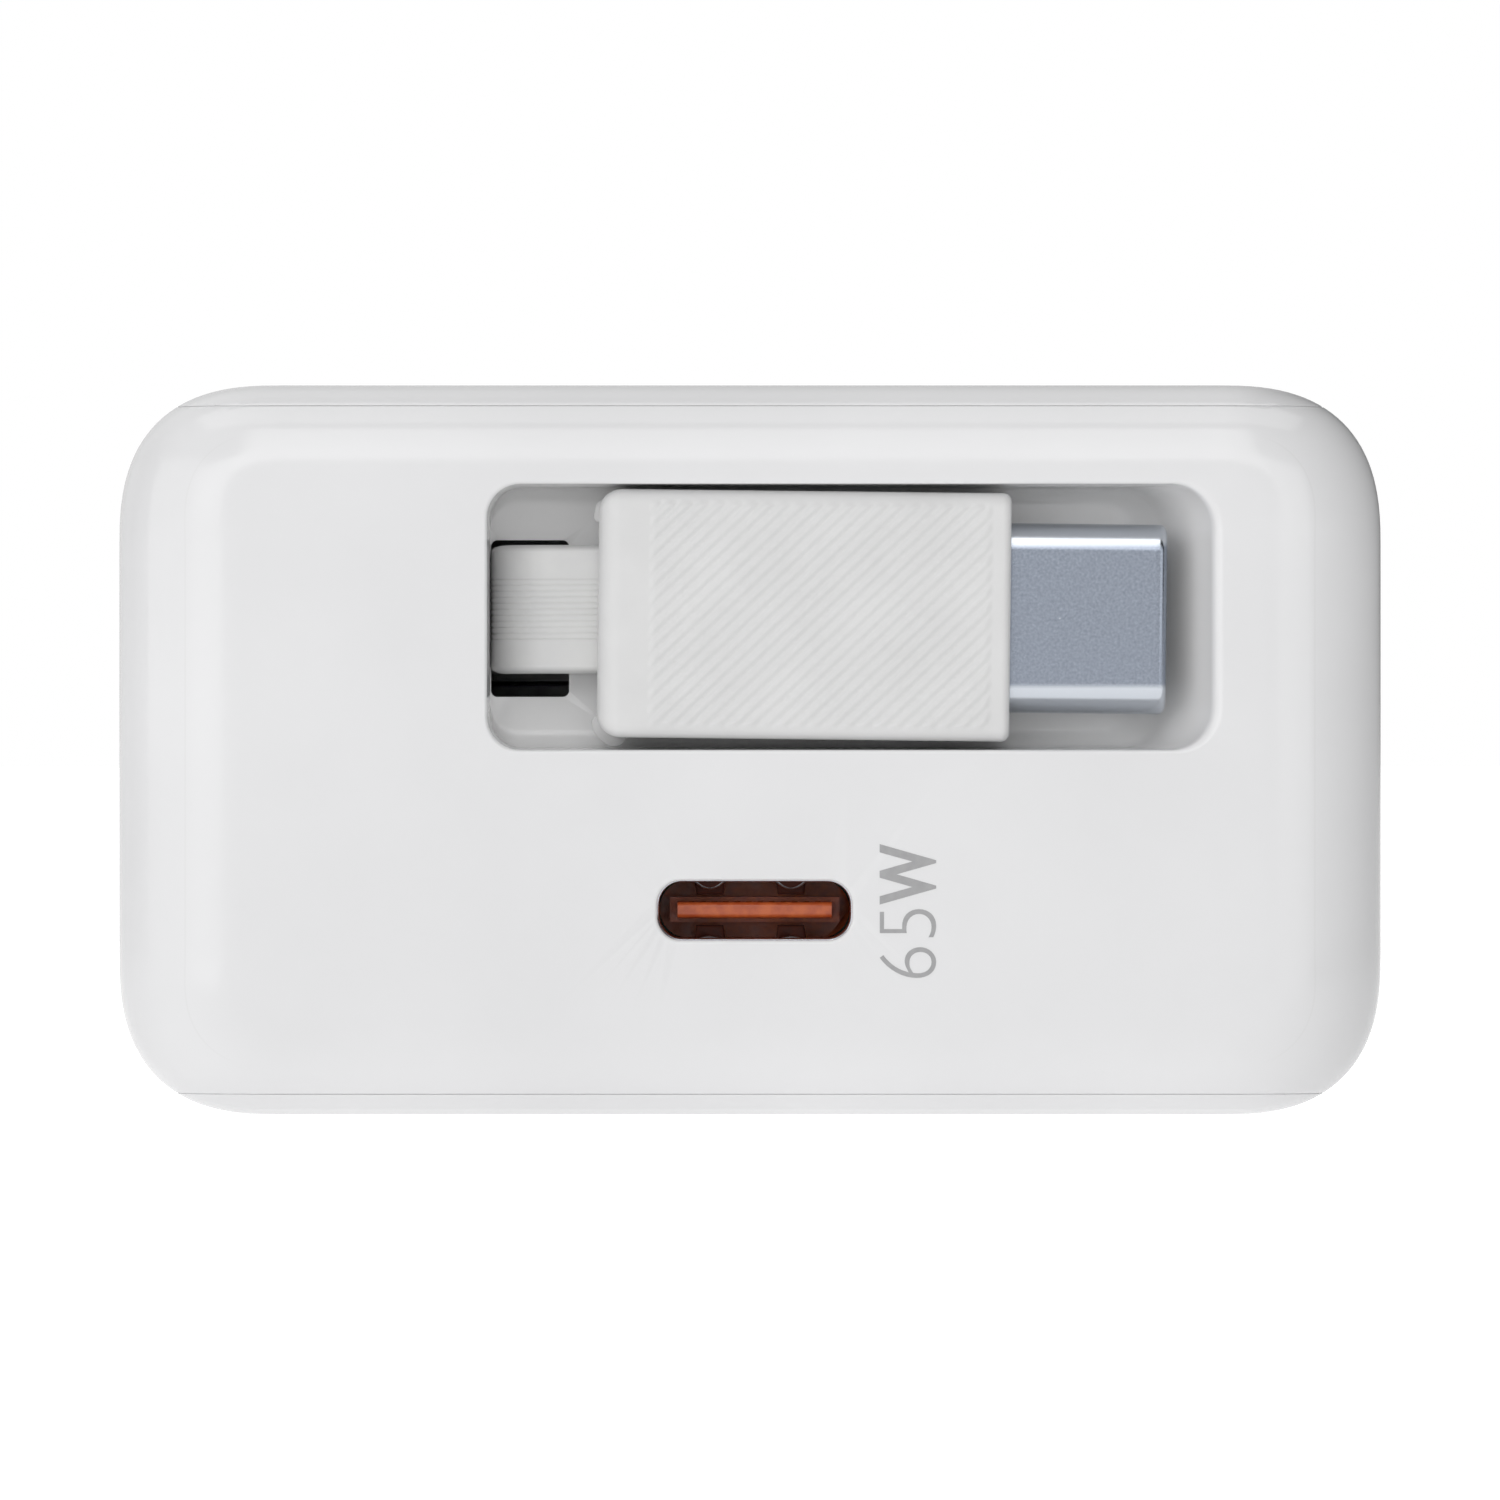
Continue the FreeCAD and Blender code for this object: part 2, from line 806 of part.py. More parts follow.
def ribbon_lead():
    """The end of the ribbon: up the slot, round its bend and into the back of the plug."""
    half = ribbon_thick / 2
    y_leg = recess_floor + pocket_wall + leg_start
    x_bend = ribbon_x + ribbon_bend
    y_bend = plug_y + ribbon_bend
    leg = box(ribbon_x - half, ribbon_x + half, y_bend, y_leg, ribbon_low, ribbon_high)
    bend = ring(x_bend, y_bend, ribbon_bend + half, ribbon_bend - half, ribbon_low, ribbon_high)
    quarter = box(
        ribbon_x - ribbon_thick, x_bend, plug_y - ribbon_thick, y_bend, ribbon_low, ribbon_high
    )
    bend = bend.common(quarter)
    tail = box(x_bend, mould_left - clearance, plug_y - half, plug_y + half, ribbon_low, ribbon_high)
    return leg.fuse(bend).fuse(tail).removeSplitter()


def cable_guide():
    """The black guide behind the slot, its mouth flared where the ribbon turns."""
    y0 = recess_floor + pocket_wall
    y1 = y0 + guide_depth
    guide = box(
        slot_left - guide_left_wall, slot_right + guide_right_wall, y0, y1,
        slot_bottom - guide_wall, slot_top + guide_wall,
    )
    slot = box(slot_left, slot_right, y0 - past, y1 + past, slot_bottom, slot_top)
    flare = box(
        slot_left - guide_flare, slot_left + clearance, y0 + guide_flare_start, y1 + past,
        slot_bottom, slot_top,
    )
    return guide.cut(slot).cut(flare)


def bridge_posts():
    return ((19.6, -19.0), (19.2, 15.8), (-18.6, 15.4), (-19.6, -14.0))


def reel_base():
    """The fixed plate under the reel, with the posts of the bridge."""
    base = rounded_z(-base_x, base_x, base_front, base_back, base_low, base_high, base_corner)
    notch = box(
        notch_left, notch_right, notch_front, base_back + past, base_low - past, base_high + past
    )
    base = base.cut(notch)
    base = base.cut(post(reel_x, reel_y, axle_foot_radius, base_low - past, base_high + past))
    for x, y in bridge_posts():
        base = base.fuse(post(x, y, bridge_post_radius, base_high - clearance, bridge_low))
        hole = post(x, y, pilot_radius, bridge_low - bridge_post_hole, bridge_low + past)
        base = base.cut(hole)
    return base.removeSplitter()


def latch_tip():
    """The point of the groove's circle that is one lever's length from the pivot."""
    dx = latch_x - reel_x
    dy = latch_y - reel_y
    reach = math.hypot(dx, dy)
    along = (reach**2 + groove_radius**2 - lever_length**2) / (2 * reach)
    across = math.sqrt(groove_radius**2 - along**2)
    ux = dx / reach
    uy = dy / reach
    return Vector(reel_x + ux * along + uy * across, reel_y + uy * along - ux * across, 0)


def latch_lever():
    """The lever whose pin rides in the spool's groove and holds the cable part way."""
    pivot = Vector(latch_x, latch_y, 0)
    tip = latch_tip()
    low = flange_high + lever_rise
    high = low + lever_thick
    way = (tip - pivot).normalize()
    side = Vector(-way.y, way.x, 0) * lever_half
    lever = flat_strip([pivot + side, tip + side], [pivot - side, tip - side], low, high)
    lever = lever.fuse(post(pivot.x, pivot.y, lever_boss, low, high))
    lever = lever.fuse(post(tip.x, tip.y, lever_half, low, high))
    lever = lever.fuse(post(tip.x, tip.y, lever_pin, flange_high + lever_pin_gap, low))
    bore = post(pivot.x, pivot.y, pivot_radius + slip_fit, low - past, high + past)
    return lever.cut(bore).removeSplitter()


def reel_bridge():
    """The plate over the reel that carries the lever's pivot."""
    low = bridge_low
    high = low + bridge_thick
    bridge = rounded_z(-bridge_x, bridge_x, bridge_front, bridge_back, low, high, bridge_corner)
    bridge = bridge.cut(post(reel_x, reel_y, bridge_hole, low - past, high + past))
    for x, y in bridge_posts():
        bridge = bridge.cut(post(x, y, screw_hole, low - past, high + past))
    pivot = post(latch_x, latch_y, pivot_radius, flange_high + lever_rise - clearance, low)
    return bridge.fuse(pivot).removeSplitter()


def screw(x, y, top, length):
    """A small pan-head screw that points down from its seat."""
    head = Part.makeCylinder(head_radius, head_height, Vector(x, y, top))
    shank = post(x, y, pilot_radius, top - length, top)
    half = cross_width / 2
    low = top + cross_floor
    cross = box(x - cross_half, x + cross_half, y - half, y + half, low, top + past)
    cross = cross.fuse(box(x - half, x + half, y - cross_half, y + cross_half, low, top + past))
    return head.fuse(shank).cut(cross)


def reel_screws():
    top = bridge_low + bridge_thick
    return Part.makeCompound([screw(x, y, top, bridge_screw_length) for x, y in bridge_posts()])


def board_screws():
    return Part.makeCompound([screw(x, y, board_top, board_screw_length) for x, y in board_posts()])


def ring_board():
    low = flange_low - ring_board_thick
    return ring(reel_x, reel_y, ring_board_outer, ring_board_inner, low, flange_low)


def slip_rings():
    half = slip_width / 2
    high = slip_low + slip_thick
    return Part.makeCompound([ring(reel_x, reel_y, r + half, r - half, slip_low, high) for r in slip_radii])


def brush_block():
    return box(
        reel_x + brush_block_start, reel_x + brush_block_end,
        reel_y - brush_block_half, reel_y + brush_block_half,
        base_high, base_high + brush_block_thick,
    )


def brush_contacts():
    """Four leaf brushes, one to each slip ring."""
    brushes = []
    low = base_high + brush_block_thick
    tip = slip_low - slip_fit
    foot_front = reel_y - brush_foot_start
    foot_back = reel_y - brush_foot_end
    leaf_end = reel_y + brush_reach
    for r in slip_radii:
        x0 = reel_x + r - brush_width / 2
        x1 = x0 + brush_width
        foot = box(x0, x1, foot_front, foot_back, low, low + brush_thick)
        points = [
            Vector(x0, foot_back, low),
            Vector(x0, leaf_end, tip - brush_thick),
            Vector(x0, leaf_end, tip),
            Vector(x0, foot_back, low + brush_thick),
        ]
        leaf = Part.Face(Part.makePolygon(points + points[:1])).extrude(Vector(brush_width, 0, 0))
        brushes.append(foot.fuse(leaf))
    return Part.makeCompound(brushes)


# Plug

def leaned(shape):
    """Turned by the parked plug's small lean, about the middle of its overmould."""
    turned = shape.copy()
    turned.rotate(Vector(lean_x, plug_y, plug_z), Vector(0, 1, 0), plug_lean)
    return turned


def plug_block(x0, x1, half_y, half_z):
    """A plain block about the plug's middle line."""
    return box(x0, x1, plug_y - half_y, plug_y + half_y, plug_z - half_z, plug_z + half_z)


def obround_x(x0, x1, height, thick):
    half_y = thick / 2
    half_z = height / 2
    return rounded_x(
        x0, x1, plug_y - half_y, plug_y + half_y, plug_z - half_z, plug_z + half_z, half_y - hair
    )


def edges_at(shape, x):
    """The edges of a shape that lie in the plane at one X."""
    return [edge for edge in shape.Edges if all(abs(v.X - x) < 1e-6 for v in edge.Vertexes)]


def plug_core():
    left = mould_left + core_start
    return plug_block(left, mould_right - core_end, core_half_y, core_half_z)


def plug_overmould():
    half_y = mould_thick / 2
    half_z = mould_height / 2
    mould = rounded_x(
        mould_left, mould_right, plug_y - half_y, plug_y + half_y,
        plug_z - half_z, plug_z + half_z, mould_round,
    )
    mould = mould.makeFillet(mould_right_round, edges_at(mould, mould_right))
    mould = mould.makeFillet(mould_left_round, edges_at(mould, mould_left))
    hole = obround_x(mould_right - past, mould_right + past, plug_shell_height, plug_shell_thick)
    return leaned(mould.cut(plug_core()).cut(hole))


def plug_inner_mould():
    """The hard inner moulding under the soft grip, around the plug's board."""
    socket_for_shell = obround_x(
        mould_right - shell_root - 2 * clearance, mould_right, plug_shell_height, plug_shell_thick
    )
    return leaned(plug_core().cut(socket_for_shell).cut(plug_board_block()))


def plug_board_block():
    left = mould_left + core_start + core_wall
    return plug_block(left, mould_right - shell_root, plug_board_half_y, plug_board_half_z)


def plug_board():
    return leaned(plug_board_block())


def plug_shell():
    """The drawn metal shell of the plug, open at its mouth."""
    left = mould_right - shell_root
    right = mould_right + plug_reach
    shell = obround_x(left, right, plug_shell_height, plug_shell_thick)
    shell = shell.makeFillet(shell_lip_round, edges_at(shell, right))
    walls = 2 * plug_shell_wall
    bore = obround_x(left, right + past, plug_shell_height - walls, plug_shell_thick - walls)
    return leaned(shell.cut(bore))


def plug_insulator():
    """The dark insulator inside the shell, with the mouth that takes a socket's tongue."""
    around = 2 * (plug_shell_wall + press_gap)
    right = mould_right + plug_reach - insulator_inset
    body = obround_x(
        mould_right - shell_root, right, plug_shell_height - around, plug_shell_thick - around
    )
    mouth = plug_block(mould_right + mouth_floor, right + past, mouth_half_y, mouth_half_z)
    return leaned(body.cut(mouth))


def contact_steps():
    """The places of one row of contacts about its middle."""
    return [(i - (contact_count - 1) / 2) * contact_pitch for i in range(contact_count)]


def plug_contacts():
    """Two rows of contacts on the walls of the plug's mouth."""
    x0 = mould_right + contact_start
    x1 = mould_right + plug_reach - contact_end
    half = contact_width / 2
    contacts = []
    for y in (plug_y - mouth_half_y, plug_y + mouth_half_y - contact_thick):
        for step in contact_steps():
            z = plug_z + step
            contacts.append(box(x0, x1, y, y + contact_thick, z - half, z + half))
    return leaned(Part.makeCompound(contacts))


# Socket

def socket_shell():
    y0 = socket_mouth
    y1 = y0 + socket_depth
    return socket_window(socket_wall, y0, y1).cut(socket_window(0, y0 - past, y1 + past))


def socket_block_x(half_x, y0, y1, half_z):
    return box(socket_x - half_x, socket_x + half_x, y0, y1, socket_z - half_z, socket_z + half_z)


def socket_body():
    """The orange moulding of the socket: a back block and the tongue that carries the contacts."""
    y0 = socket_mouth
    y1 = y0 + socket_depth
    block = socket_window(-press_gap, y1 - socket_block, y1)
    tip_y = y0 + tongue_start
    tongue = socket_block_x(tongue_half_x, tip_y, y1 - tongue_end, tongue_half_z)
    tip = [e for e in edges_along(tongue, Vector(1, 0, 0)) if e.CenterOfMass.y < tip_y + clearance]
    tongue = tongue.makeFillet(tongue_round, tip)
    root = socket_block_x(tongue_root_x, y0 + tongue_root_start, y1 - tongue_end, tongue_root_z)
    return block.fuse(tongue).fuse(root).removeSplitter()


def socket_contacts():
    y0 = socket_mouth + pad_start
    y1 = socket_mouth + pad_end
    pads = []
    for step in contact_steps():
        x = socket_x + step
        for z in (socket_z - tongue_half_z - contact_thick, socket_z + tongue_half_z):
            pads.append(box(x - pad_half, x + pad_half, y0, y1, z, z + contact_thick))
    return Part.makeCompound(pads)


def socket_board():
    y0 = socket_mouth + socket_depth
    return box(
        socket_x - socket_board_left, socket_x + socket_board_right, y0, y0 + socket_board_thick,
        board_top + clearance, base_low - socket_board_gap,
    )


# Electronics

def main_board():
    board = rounded_z(
        -board_x, board_x, board_front, board_back, board_bottom, board_top, board_corner
    )
    for x, y in board_posts():
        board = board.cut(post(x, y, board_hole, 0, board_top + past))
    return board


def transformer_core():
    """Two E-shaped ferrite halves, one above the other."""
    x0 = core_x - core_half_length
    x1 = core_x + core_half_length
    y0 = core_y - core_half_width
    y1 = core_y + core_half_width
    middle_low = core_low + core_half_height
    middle_high = middle_low + core_gap
    top = middle_high + core_half_height
    halves = []
    for low, high, z0, z1 in (
        (core_low, middle_low, core_low + core_back, middle_low + past),
        (middle_high, top, middle_high - past, top - core_back),
    ):
        window = box(x0 + core_side, x1 - core_side, y0 - past, y1 + past, z0, z1)
        leg = post(core_x, core_y, core_leg, low, high)
        halves.append(box(x0, x1, y0, y1, low, high).cut(window).fuse(leg).removeSplitter())
    return Part.makeCompound(halves)


def transformer_winding():
    """The copper winding on its flanged bobbin."""
    coil = ring(core_x, core_y, winding_outer, winding_inner, winding_low, winding_high)
    bobbin = ring(
        core_x, core_y, bobbin_outer, bobbin_inner, winding_low - bobbin_end, winding_high + bobbin_end
    )
    coil = coil.fuse(bobbin)
    for low in (winding_low - bobbin_flange_thick, winding_high):
        high = low + bobbin_flange_thick
        coil = coil.fuse(ring(core_x, core_y, bobbin_flange, bobbin_flange_inner, low, high))
    return coil


def bulk_capacitors():
    """Three cans lying side by side, each with its rolled groove."""
    cans = []
    for i in range(can_count):
        x = can_first + can_pitch * i
        can = rod_y(x, can_z, can_radius, can_front, can_back)
        rims = [e for e in can.Edges if isinstance(e.Curve, Part.Circle)]
        bottom = rod_y(x, can_z, can_radius - can_groove_depth, can_front, can_back)
        groove = rod_y(x, can_z, can_radius + past, can_groove, can_groove + can_groove_width)
        cans.append(can.makeFillet(can_round, rims).cut(groove.cut(bottom)))
    return Part.makeCompound(cans)


def choke_core():
    return ring(
        choke_x, choke_y, choke_ring + choke_half, choke_ring - choke_half,
        choke_z - choke_half_height, choke_z + choke_half_height,
    )


def choke_winding():
    """Two windings of enamelled wire on opposite sides of the core."""
    turns = []
    centre = Vector(choke_x, choke_y, choke_z)
    for first in (0, wire_second):
        for i in range(first, first + wire_turns):
            angle = math.radians(wire_step * i + wire_first)
            way = Vector(math.cos(angle), math.sin(angle), 0)
            normal = Vector(-way.y, way.x, 0)
            turns.append(Part.makeTorus(wire_loop, wire_radius, centre + way * choke_ring, normal))
    return Part.makeCompound(turns)


def interference_capacitor():
    return rounded_z(
        box_cap_left, box_cap_right, box_cap_front, box_cap_back,
        board_top + clearance, box_cap_top, box_cap_corner,
    )


def fuse():
    """A ceramic tube with a metal cap at each end."""
    body = rod_y(fuse_x, fuse_z, fuse_radius, fuse_front, fuse_back)
    for start in (fuse_front, fuse_back - fuse_cap):
        body = body.fuse(rod_y(fuse_x, fuse_z, fuse_cap_radius, start, start + fuse_cap))
    return body.removeSplitter()


def bridge_rectifier():
    return rounded_z(
        rectifier_left, rectifier_right, rectifier_front, rectifier_back,
        board_top + clearance, rectifier_top, rectifier_corner,
    )


def chip(x, y, width, depth, height):
    return box(x, x + width, y, y + depth, board_top, board_top + height)


def power_chips():
    """The switch and the controllers, flat on the board."""
    power_switch = chip(0.4, -14.6, 8.0, 8.0, 0.9)
    output_controller = chip(10.4, -12.4, 5.0, 4.0, 1.2)
    cable_controller = chip(10.4, -6.6, 4.0, 4.0, 0.9)
    feedback_chip = chip(-16.0, -19.6, 4.5, 3.6, 1.4)
    return Part.makeCompound([power_switch, output_controller, cable_controller, feedback_chip])


def output_can_places():
    return ((19.8, -14.2), (19.8, -7.6), (12.8, -17.0))


def output_capacitors():
    cans = []
    for x, y in output_can_places():
        can = post(x, y, output_cap_radius, board_top + clearance, output_cap_top)
        circles = [e for e in can.Edges if isinstance(e.Curve, Part.Circle)]
        top = [e for e in circles if abs(e.CenterOfMass.z - output_cap_top) < hair]
        cans.append(can.makeFillet(output_cap_round, top))
    return Part.makeCompound(cans)


def heat_spreader():
    """A sheet over the components, with a skirt down its left side."""
    high = spreader_low + spreader_thick
    plate = rounded_z(
        spreader_left, spreader_right, spreader_front, spreader_back, spreader_low, high, spreader_corner
    )
    skirt_left = spreader_left - spreader_skirt_shift
    skirt = box(
        skirt_left, skirt_left + spreader_thick, -spreader_skirt, spreader_skirt,
        board_top + spreader_skirt_gap, high,
    )
    return plate.fuse(skirt)


def insulating_film():
    low = spreader_low + spreader_thick + slip_fit
    return rounded_z(
        film_left, spreader_right, film_front, film_back, low, low + film_thick, spreader_corner
    )


def board_pins():
    """The pin strip that joins the socket board to the main board."""
    back_y = socket_mouth + socket_depth + socket_board_thick + 2 * pin_half
    pins = []
    for i in range(pin_count):
        x = socket_x - pin_first + pin_pitch * i
        pins.append(
            box(
                x - pin_half, x + pin_half, back_y - 2 * pin_half, back_y,
                board_top, board_top + pin_rise,
            )
        )
    return Part.makeCompound(pins)


def export(name, shape):
    if not shape.isValid():
        print("not valid:", name)
    solids = len(shape.Solids)
    print(f"{name}: {solids} solid{'s' if solids > 1 else ''}, {shape.Volume:.1f} mm3")
    shape.exportStep(f"parts/{name}.step")


def main():
    os.makedirs("parts", exist_ok=True)
    outer = outer_block()
    inner = inner_block()
    export("main_shell", main_shell(outer, inner))
    export("top_cover", side_cover(outer, True))
    export("bottom_cover", side_cover(outer, False))
    pieces = (
        back_plate, prong_carrier, prong_blades, prong_contacts,
        cable_guide, ribbon_lead, ribbon_run, ribbon_coil,
        spool, spring_cap, reel_axle, power_spring, ring_board, slip_rings,
        brush_block, brush_contacts, reel_base, reel_bridge, latch_lever, reel_screws,
        plug_overmould, plug_inner_mould, plug_board, plug_shell, plug_insulator, plug_contacts,
        socket_shell, socket_body, socket_contacts, socket_board,
        main_board, board_screws, transformer_core, transformer_winding, bulk_capacitors,
        choke_core, choke_winding, interference_capacitor, fuse, bridge_rectifier,
        power_chips, output_capacitors, heat_spreader, insulating_film, board_pins,
    )
    for piece in pieces:
        export(piece.__name__, piece())


main()
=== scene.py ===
import json
import math

import bmesh
import bpy
import numpy as np
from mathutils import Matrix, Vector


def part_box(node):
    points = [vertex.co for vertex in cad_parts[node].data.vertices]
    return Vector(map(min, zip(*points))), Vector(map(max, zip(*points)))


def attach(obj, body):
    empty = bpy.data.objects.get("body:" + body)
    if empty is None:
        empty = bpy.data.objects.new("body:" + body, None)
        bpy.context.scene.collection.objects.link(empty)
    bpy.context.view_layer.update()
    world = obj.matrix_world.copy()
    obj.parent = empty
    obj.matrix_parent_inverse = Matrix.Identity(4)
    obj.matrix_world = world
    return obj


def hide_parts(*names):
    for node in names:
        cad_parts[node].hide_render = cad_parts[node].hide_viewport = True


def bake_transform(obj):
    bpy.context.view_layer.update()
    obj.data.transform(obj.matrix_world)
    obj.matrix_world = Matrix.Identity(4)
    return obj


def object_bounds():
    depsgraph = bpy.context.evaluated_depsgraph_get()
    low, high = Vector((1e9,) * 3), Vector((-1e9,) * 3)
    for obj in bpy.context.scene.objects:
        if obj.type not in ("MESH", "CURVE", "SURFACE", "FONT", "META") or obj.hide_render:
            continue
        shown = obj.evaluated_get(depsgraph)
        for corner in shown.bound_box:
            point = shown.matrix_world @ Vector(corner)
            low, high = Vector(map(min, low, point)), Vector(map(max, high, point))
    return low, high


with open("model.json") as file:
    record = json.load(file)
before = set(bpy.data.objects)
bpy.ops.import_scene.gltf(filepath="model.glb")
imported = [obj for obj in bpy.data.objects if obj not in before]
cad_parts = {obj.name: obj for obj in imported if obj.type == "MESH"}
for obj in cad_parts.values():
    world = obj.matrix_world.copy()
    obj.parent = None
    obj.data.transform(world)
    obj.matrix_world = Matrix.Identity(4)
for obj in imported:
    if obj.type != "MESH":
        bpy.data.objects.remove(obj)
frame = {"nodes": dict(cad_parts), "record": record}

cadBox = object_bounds()
mm = 0.001
print("frame loaded")


# ---- mesh helpers, all sizes in millimetres until meshPiece


def meshPiece(name, surfaces, smooth=True):
    # puts one or more (points, faces) surfaces into a single mesh, in metres
    points, faces, first = [], [], 0
    for surfacePoints, surfaceFaces in surfaces:
        flat = np.asarray(surfacePoints, float).reshape(-1, 3)
        points.append(flat)
        faces += [tuple(int(i) + first for i in face) for face in surfaceFaces]
        first += len(flat)
    mesh = bpy.data.meshes.new(name)
    mesh.from_pydata((np.concatenate(points) * mm).tolist(), [], faces)
    mesh.validate()
    weld(mesh)
    mesh.polygons.foreach_set("use_smooth", np.full(len(mesh.polygons), smooth))
    piece = bpy.data.objects.new(name, mesh)
    bpy.context.scene.collection.objects.link(piece)
    return piece


def weld(mesh, turn=True):
    # merges doubled points, then turns every face outwards
    work = bmesh.new()
    work.from_mesh(mesh)
    bmesh.ops.remove_doubles(work, verts=work.verts, dist=1e-6)
    if turn:
        bmesh.ops.recalc_face_normals(work, faces=work.faces)
    work.to_mesh(mesh)
    work.free()


def gridFaces(rows, columns, closed=True):
    # quads between neighbouring rows and columns of a grid, the last column joined to the first if closed
    across = np.arange(columns if closed else columns - 1)
    row, column = np.meshgrid(np.arange(rows - 1), across, indexing="ij")
    nextColumn = (column + 1) % columns
    corners = [row * columns + column, row * columns + nextColumn,
               (row + 1) * columns + nextColumn, (row + 1) * columns + column]
    return np.stack(corners, axis=-1).reshape(-1, 4).tolist()


def loft(rings, closed=True):
    # a stack of rings with the same number of points, joined row by row
    rings = np.asarray(rings, float)
    return rings.reshape(-1, 3), gridFaces(rings.shape[0], rings.shape[1], closed)


def lid(ring):
    # one flat face across a ring
    return np.asarray(ring, float), [tuple(range(len(ring)))]


def flatFill(loops, depth):
    # a flat face at one depth, bounded by an outer loop and with holes for the others
    work = bmesh.new()
    edges = []
    for loop in loops:
        verts = [work.verts.new((p[0], depth, p[2])) for p in loop]
        edges += [work.edges.new((verts[i], verts[(i + 1) % len(verts)])) for i in range(len(verts))]
    bmesh.ops.triangle_fill(work, use_beauty=True, use_dissolve=False, edges=edges)
    work.verts.index_update()
    points = np.array([v.co for v in work.verts])
    faces = [tuple(v.index for v in face.verts) for face in work.faces]
    work.free()
    return points, faces


def finishEdges(piece, bevel=0.08, segments=2, angle=35.0, wallThickness=0.0):
    # gives a shell its thickness and every sharp edge a small round, with normals led by the large faces
    if wallThickness:
        solid = piece.modifiers.new("wall", "SOLIDIFY")
        solid.thickness = wallThickness * mm
        solid.offset = -1
    if bevel:
        edge = piece.modifiers.new("edges", "BEVEL")
        edge.width = bevel * mm
        edge.segments = segments
        edge.limit_method = "ANGLE"
        edge.angle_limit = math.radians(angle)
        edge.use_clamp_overlap = True
    normals = piece.modifiers.new("normals", "WEIGHTED_NORMAL")
    normals.keep_sharp = True
    return piece


def finishedCopy(node, name, bevel=0.08, segments=2, angle=30.0):
    # a detailed stand-in for a CAD node: its own faces, merged flat again, with every edge rounded
    mesh = frame["nodes"][node].data.copy()
    mesh.name = name
    mesh.materials.clear()
    work = bmesh.new()
    work.from_mesh(mesh)
    bmesh.ops.remove_doubles(work, verts=work.verts, dist=2e-6)
    bmesh.ops.dissolve_limit(work, angle_limit=math.radians(1.0), verts=work.verts, edges=work.edges)
    work.to_mesh(mesh)
    work.free()
    mesh.polygons.foreach_set("use_smooth", np.full(len(mesh.polygons), True))
    piece = bpy.data.objects.new(name, mesh)
    bpy.context.scene.collection.objects.link(piece)
    finishEdges(piece, bevel, segments, angle)
    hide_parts(node)
    return piece


def readPoints(mesh):
    # the mesh's points as rows of three, in its own metres
    points = np.zeros(len(mesh.vertices) * 3)
    mesh.vertices.foreach_get("co", points)
    return points.reshape(-1, 3)


def smoothStep(t):
    # 3 t^2 - 2 t^3, level at both ends
    t = np.clip(t, 0, 1)
    return t * t * (3 - 2 * t)


def roundedLoop(left, right, low, high, radii, arcSteps=10, sideSteps=6):
    # a rounded rectangle in X and Z: quarter circles at the corners, evenly divided sides between them
    radii = np.broadcast_to(radii, 4)  # upper right, upper left, lower left, lower right
    corners = [(right, high, 1, 1), (left, high, -1, 1), (left, low, -1, -1), (right, low, 1, -1)]
    pieces = []
    for k, (x, z, sx, sz) in enumerate(corners):
        turn = np.linspace(0, math.pi / 2, arcSteps + 1) + k * math.pi / 2
        middle = np.array([x - sx * radii[k], z - sz * radii[k]])
        pieces.append(middle + radii[k] * np.stack([np.cos(turn), np.sin(turn)], axis=1))
    loop = []
    for k in range(4):
        end, start = pieces[k][-1], pieces[(k + 1) % 4][0]
        share = np.linspace(0, 1, sideSteps + 1)[1:-1, None]
        loop += [pieces[k], end + (start - end) * share]
    flat = np.concatenate(loop)
    return np.stack([flat[:, 0], np.zeros(len(flat)), flat[:, 1]], axis=1)


def atDepth(loop, depth):
    # the same loop at another Y
    moved = loop.copy()
    moved[:, 1] = depth
    return moved


# ---- materials

# the plug's recess: its outline shapes its surface and also bounds the painted light that makes its walls
# paler
recessEdge = {"left": -11.4, "right": 20.4, "low": 15.9, "high": 27.44, "depth": 5.6,
              "radii": (1.9, 1.45, 1.45, 1.9), "rim": 0.16, "floorRound": 0.85, "draft": 0.02,
              "roll": 0.25, "rollDepth": 0.4, "scoop": 2.6, "scoopPower": 1.15}


def linearColour(hexColour):
    # sRGB hex to linear RGBA
    values = np.array([int(hexColour[i:i + 2], 16) / 255 for i in (1, 3, 5)])
    linear = np.where(values <= 0.04045, values / 12.92, ((values + 0.055) / 1.055) ** 2.4)
    return (*linear.tolist(), 1.0)


def addNode(tree, kind, settings=None, links=None):
    # adds a node, sets its sockets and properties, and links its inputs to the outputs given
    node = tree.nodes.new(kind)
    for key, value in (settings or {}).items():
        if isinstance(key, int) or key in node.inputs:
            node.inputs[key].default_value = value
        else:
            setattr(node, key, value)
    for key, output in (links or {}).items():
        tree.links.new(output, node.inputs[key])
    return node


def mathNode(tree, operation, links, fixed=None):
    # one sum, its inputs linked or fixed by their number
    return addNode(tree, "ShaderNodeMath", {"operation": operation, **(fixed or {})}, links).outputs[0]


def rangeOf(tree, value, start, end, least=0.0, most=1.0, step="LINEAR"):
    # a value that runs from start to end, carried over to run from least to most
    settings = {"interpolation_type": step, "From Min": start, "From Max": end,
                "To Min": least, "To Max": most}
    return addNode(tree, "ShaderNodeMapRange", settings, {"Value": value}).outputs["Result"]


def mixColour(tree, share, colour, hexColour):
    # from a linked colour to a fixed one
    mix = addNode(tree, "ShaderNodeMix", {"data_type": "RGBA"}, {0: share, 6: colour})
    mix.inputs[7].default_value = linearColour(hexColour)
    return mix.outputs[2]


def noiseOf(tree, place, size, detail):
    # soft noise whose patches are size millimetres wide
    settings = {"Scale": 1 / (size * mm), "Detail": detail}
    return addNode(tree, "ShaderNodeTexNoise", settings, {"Vector": place}).outputs["Fac"]


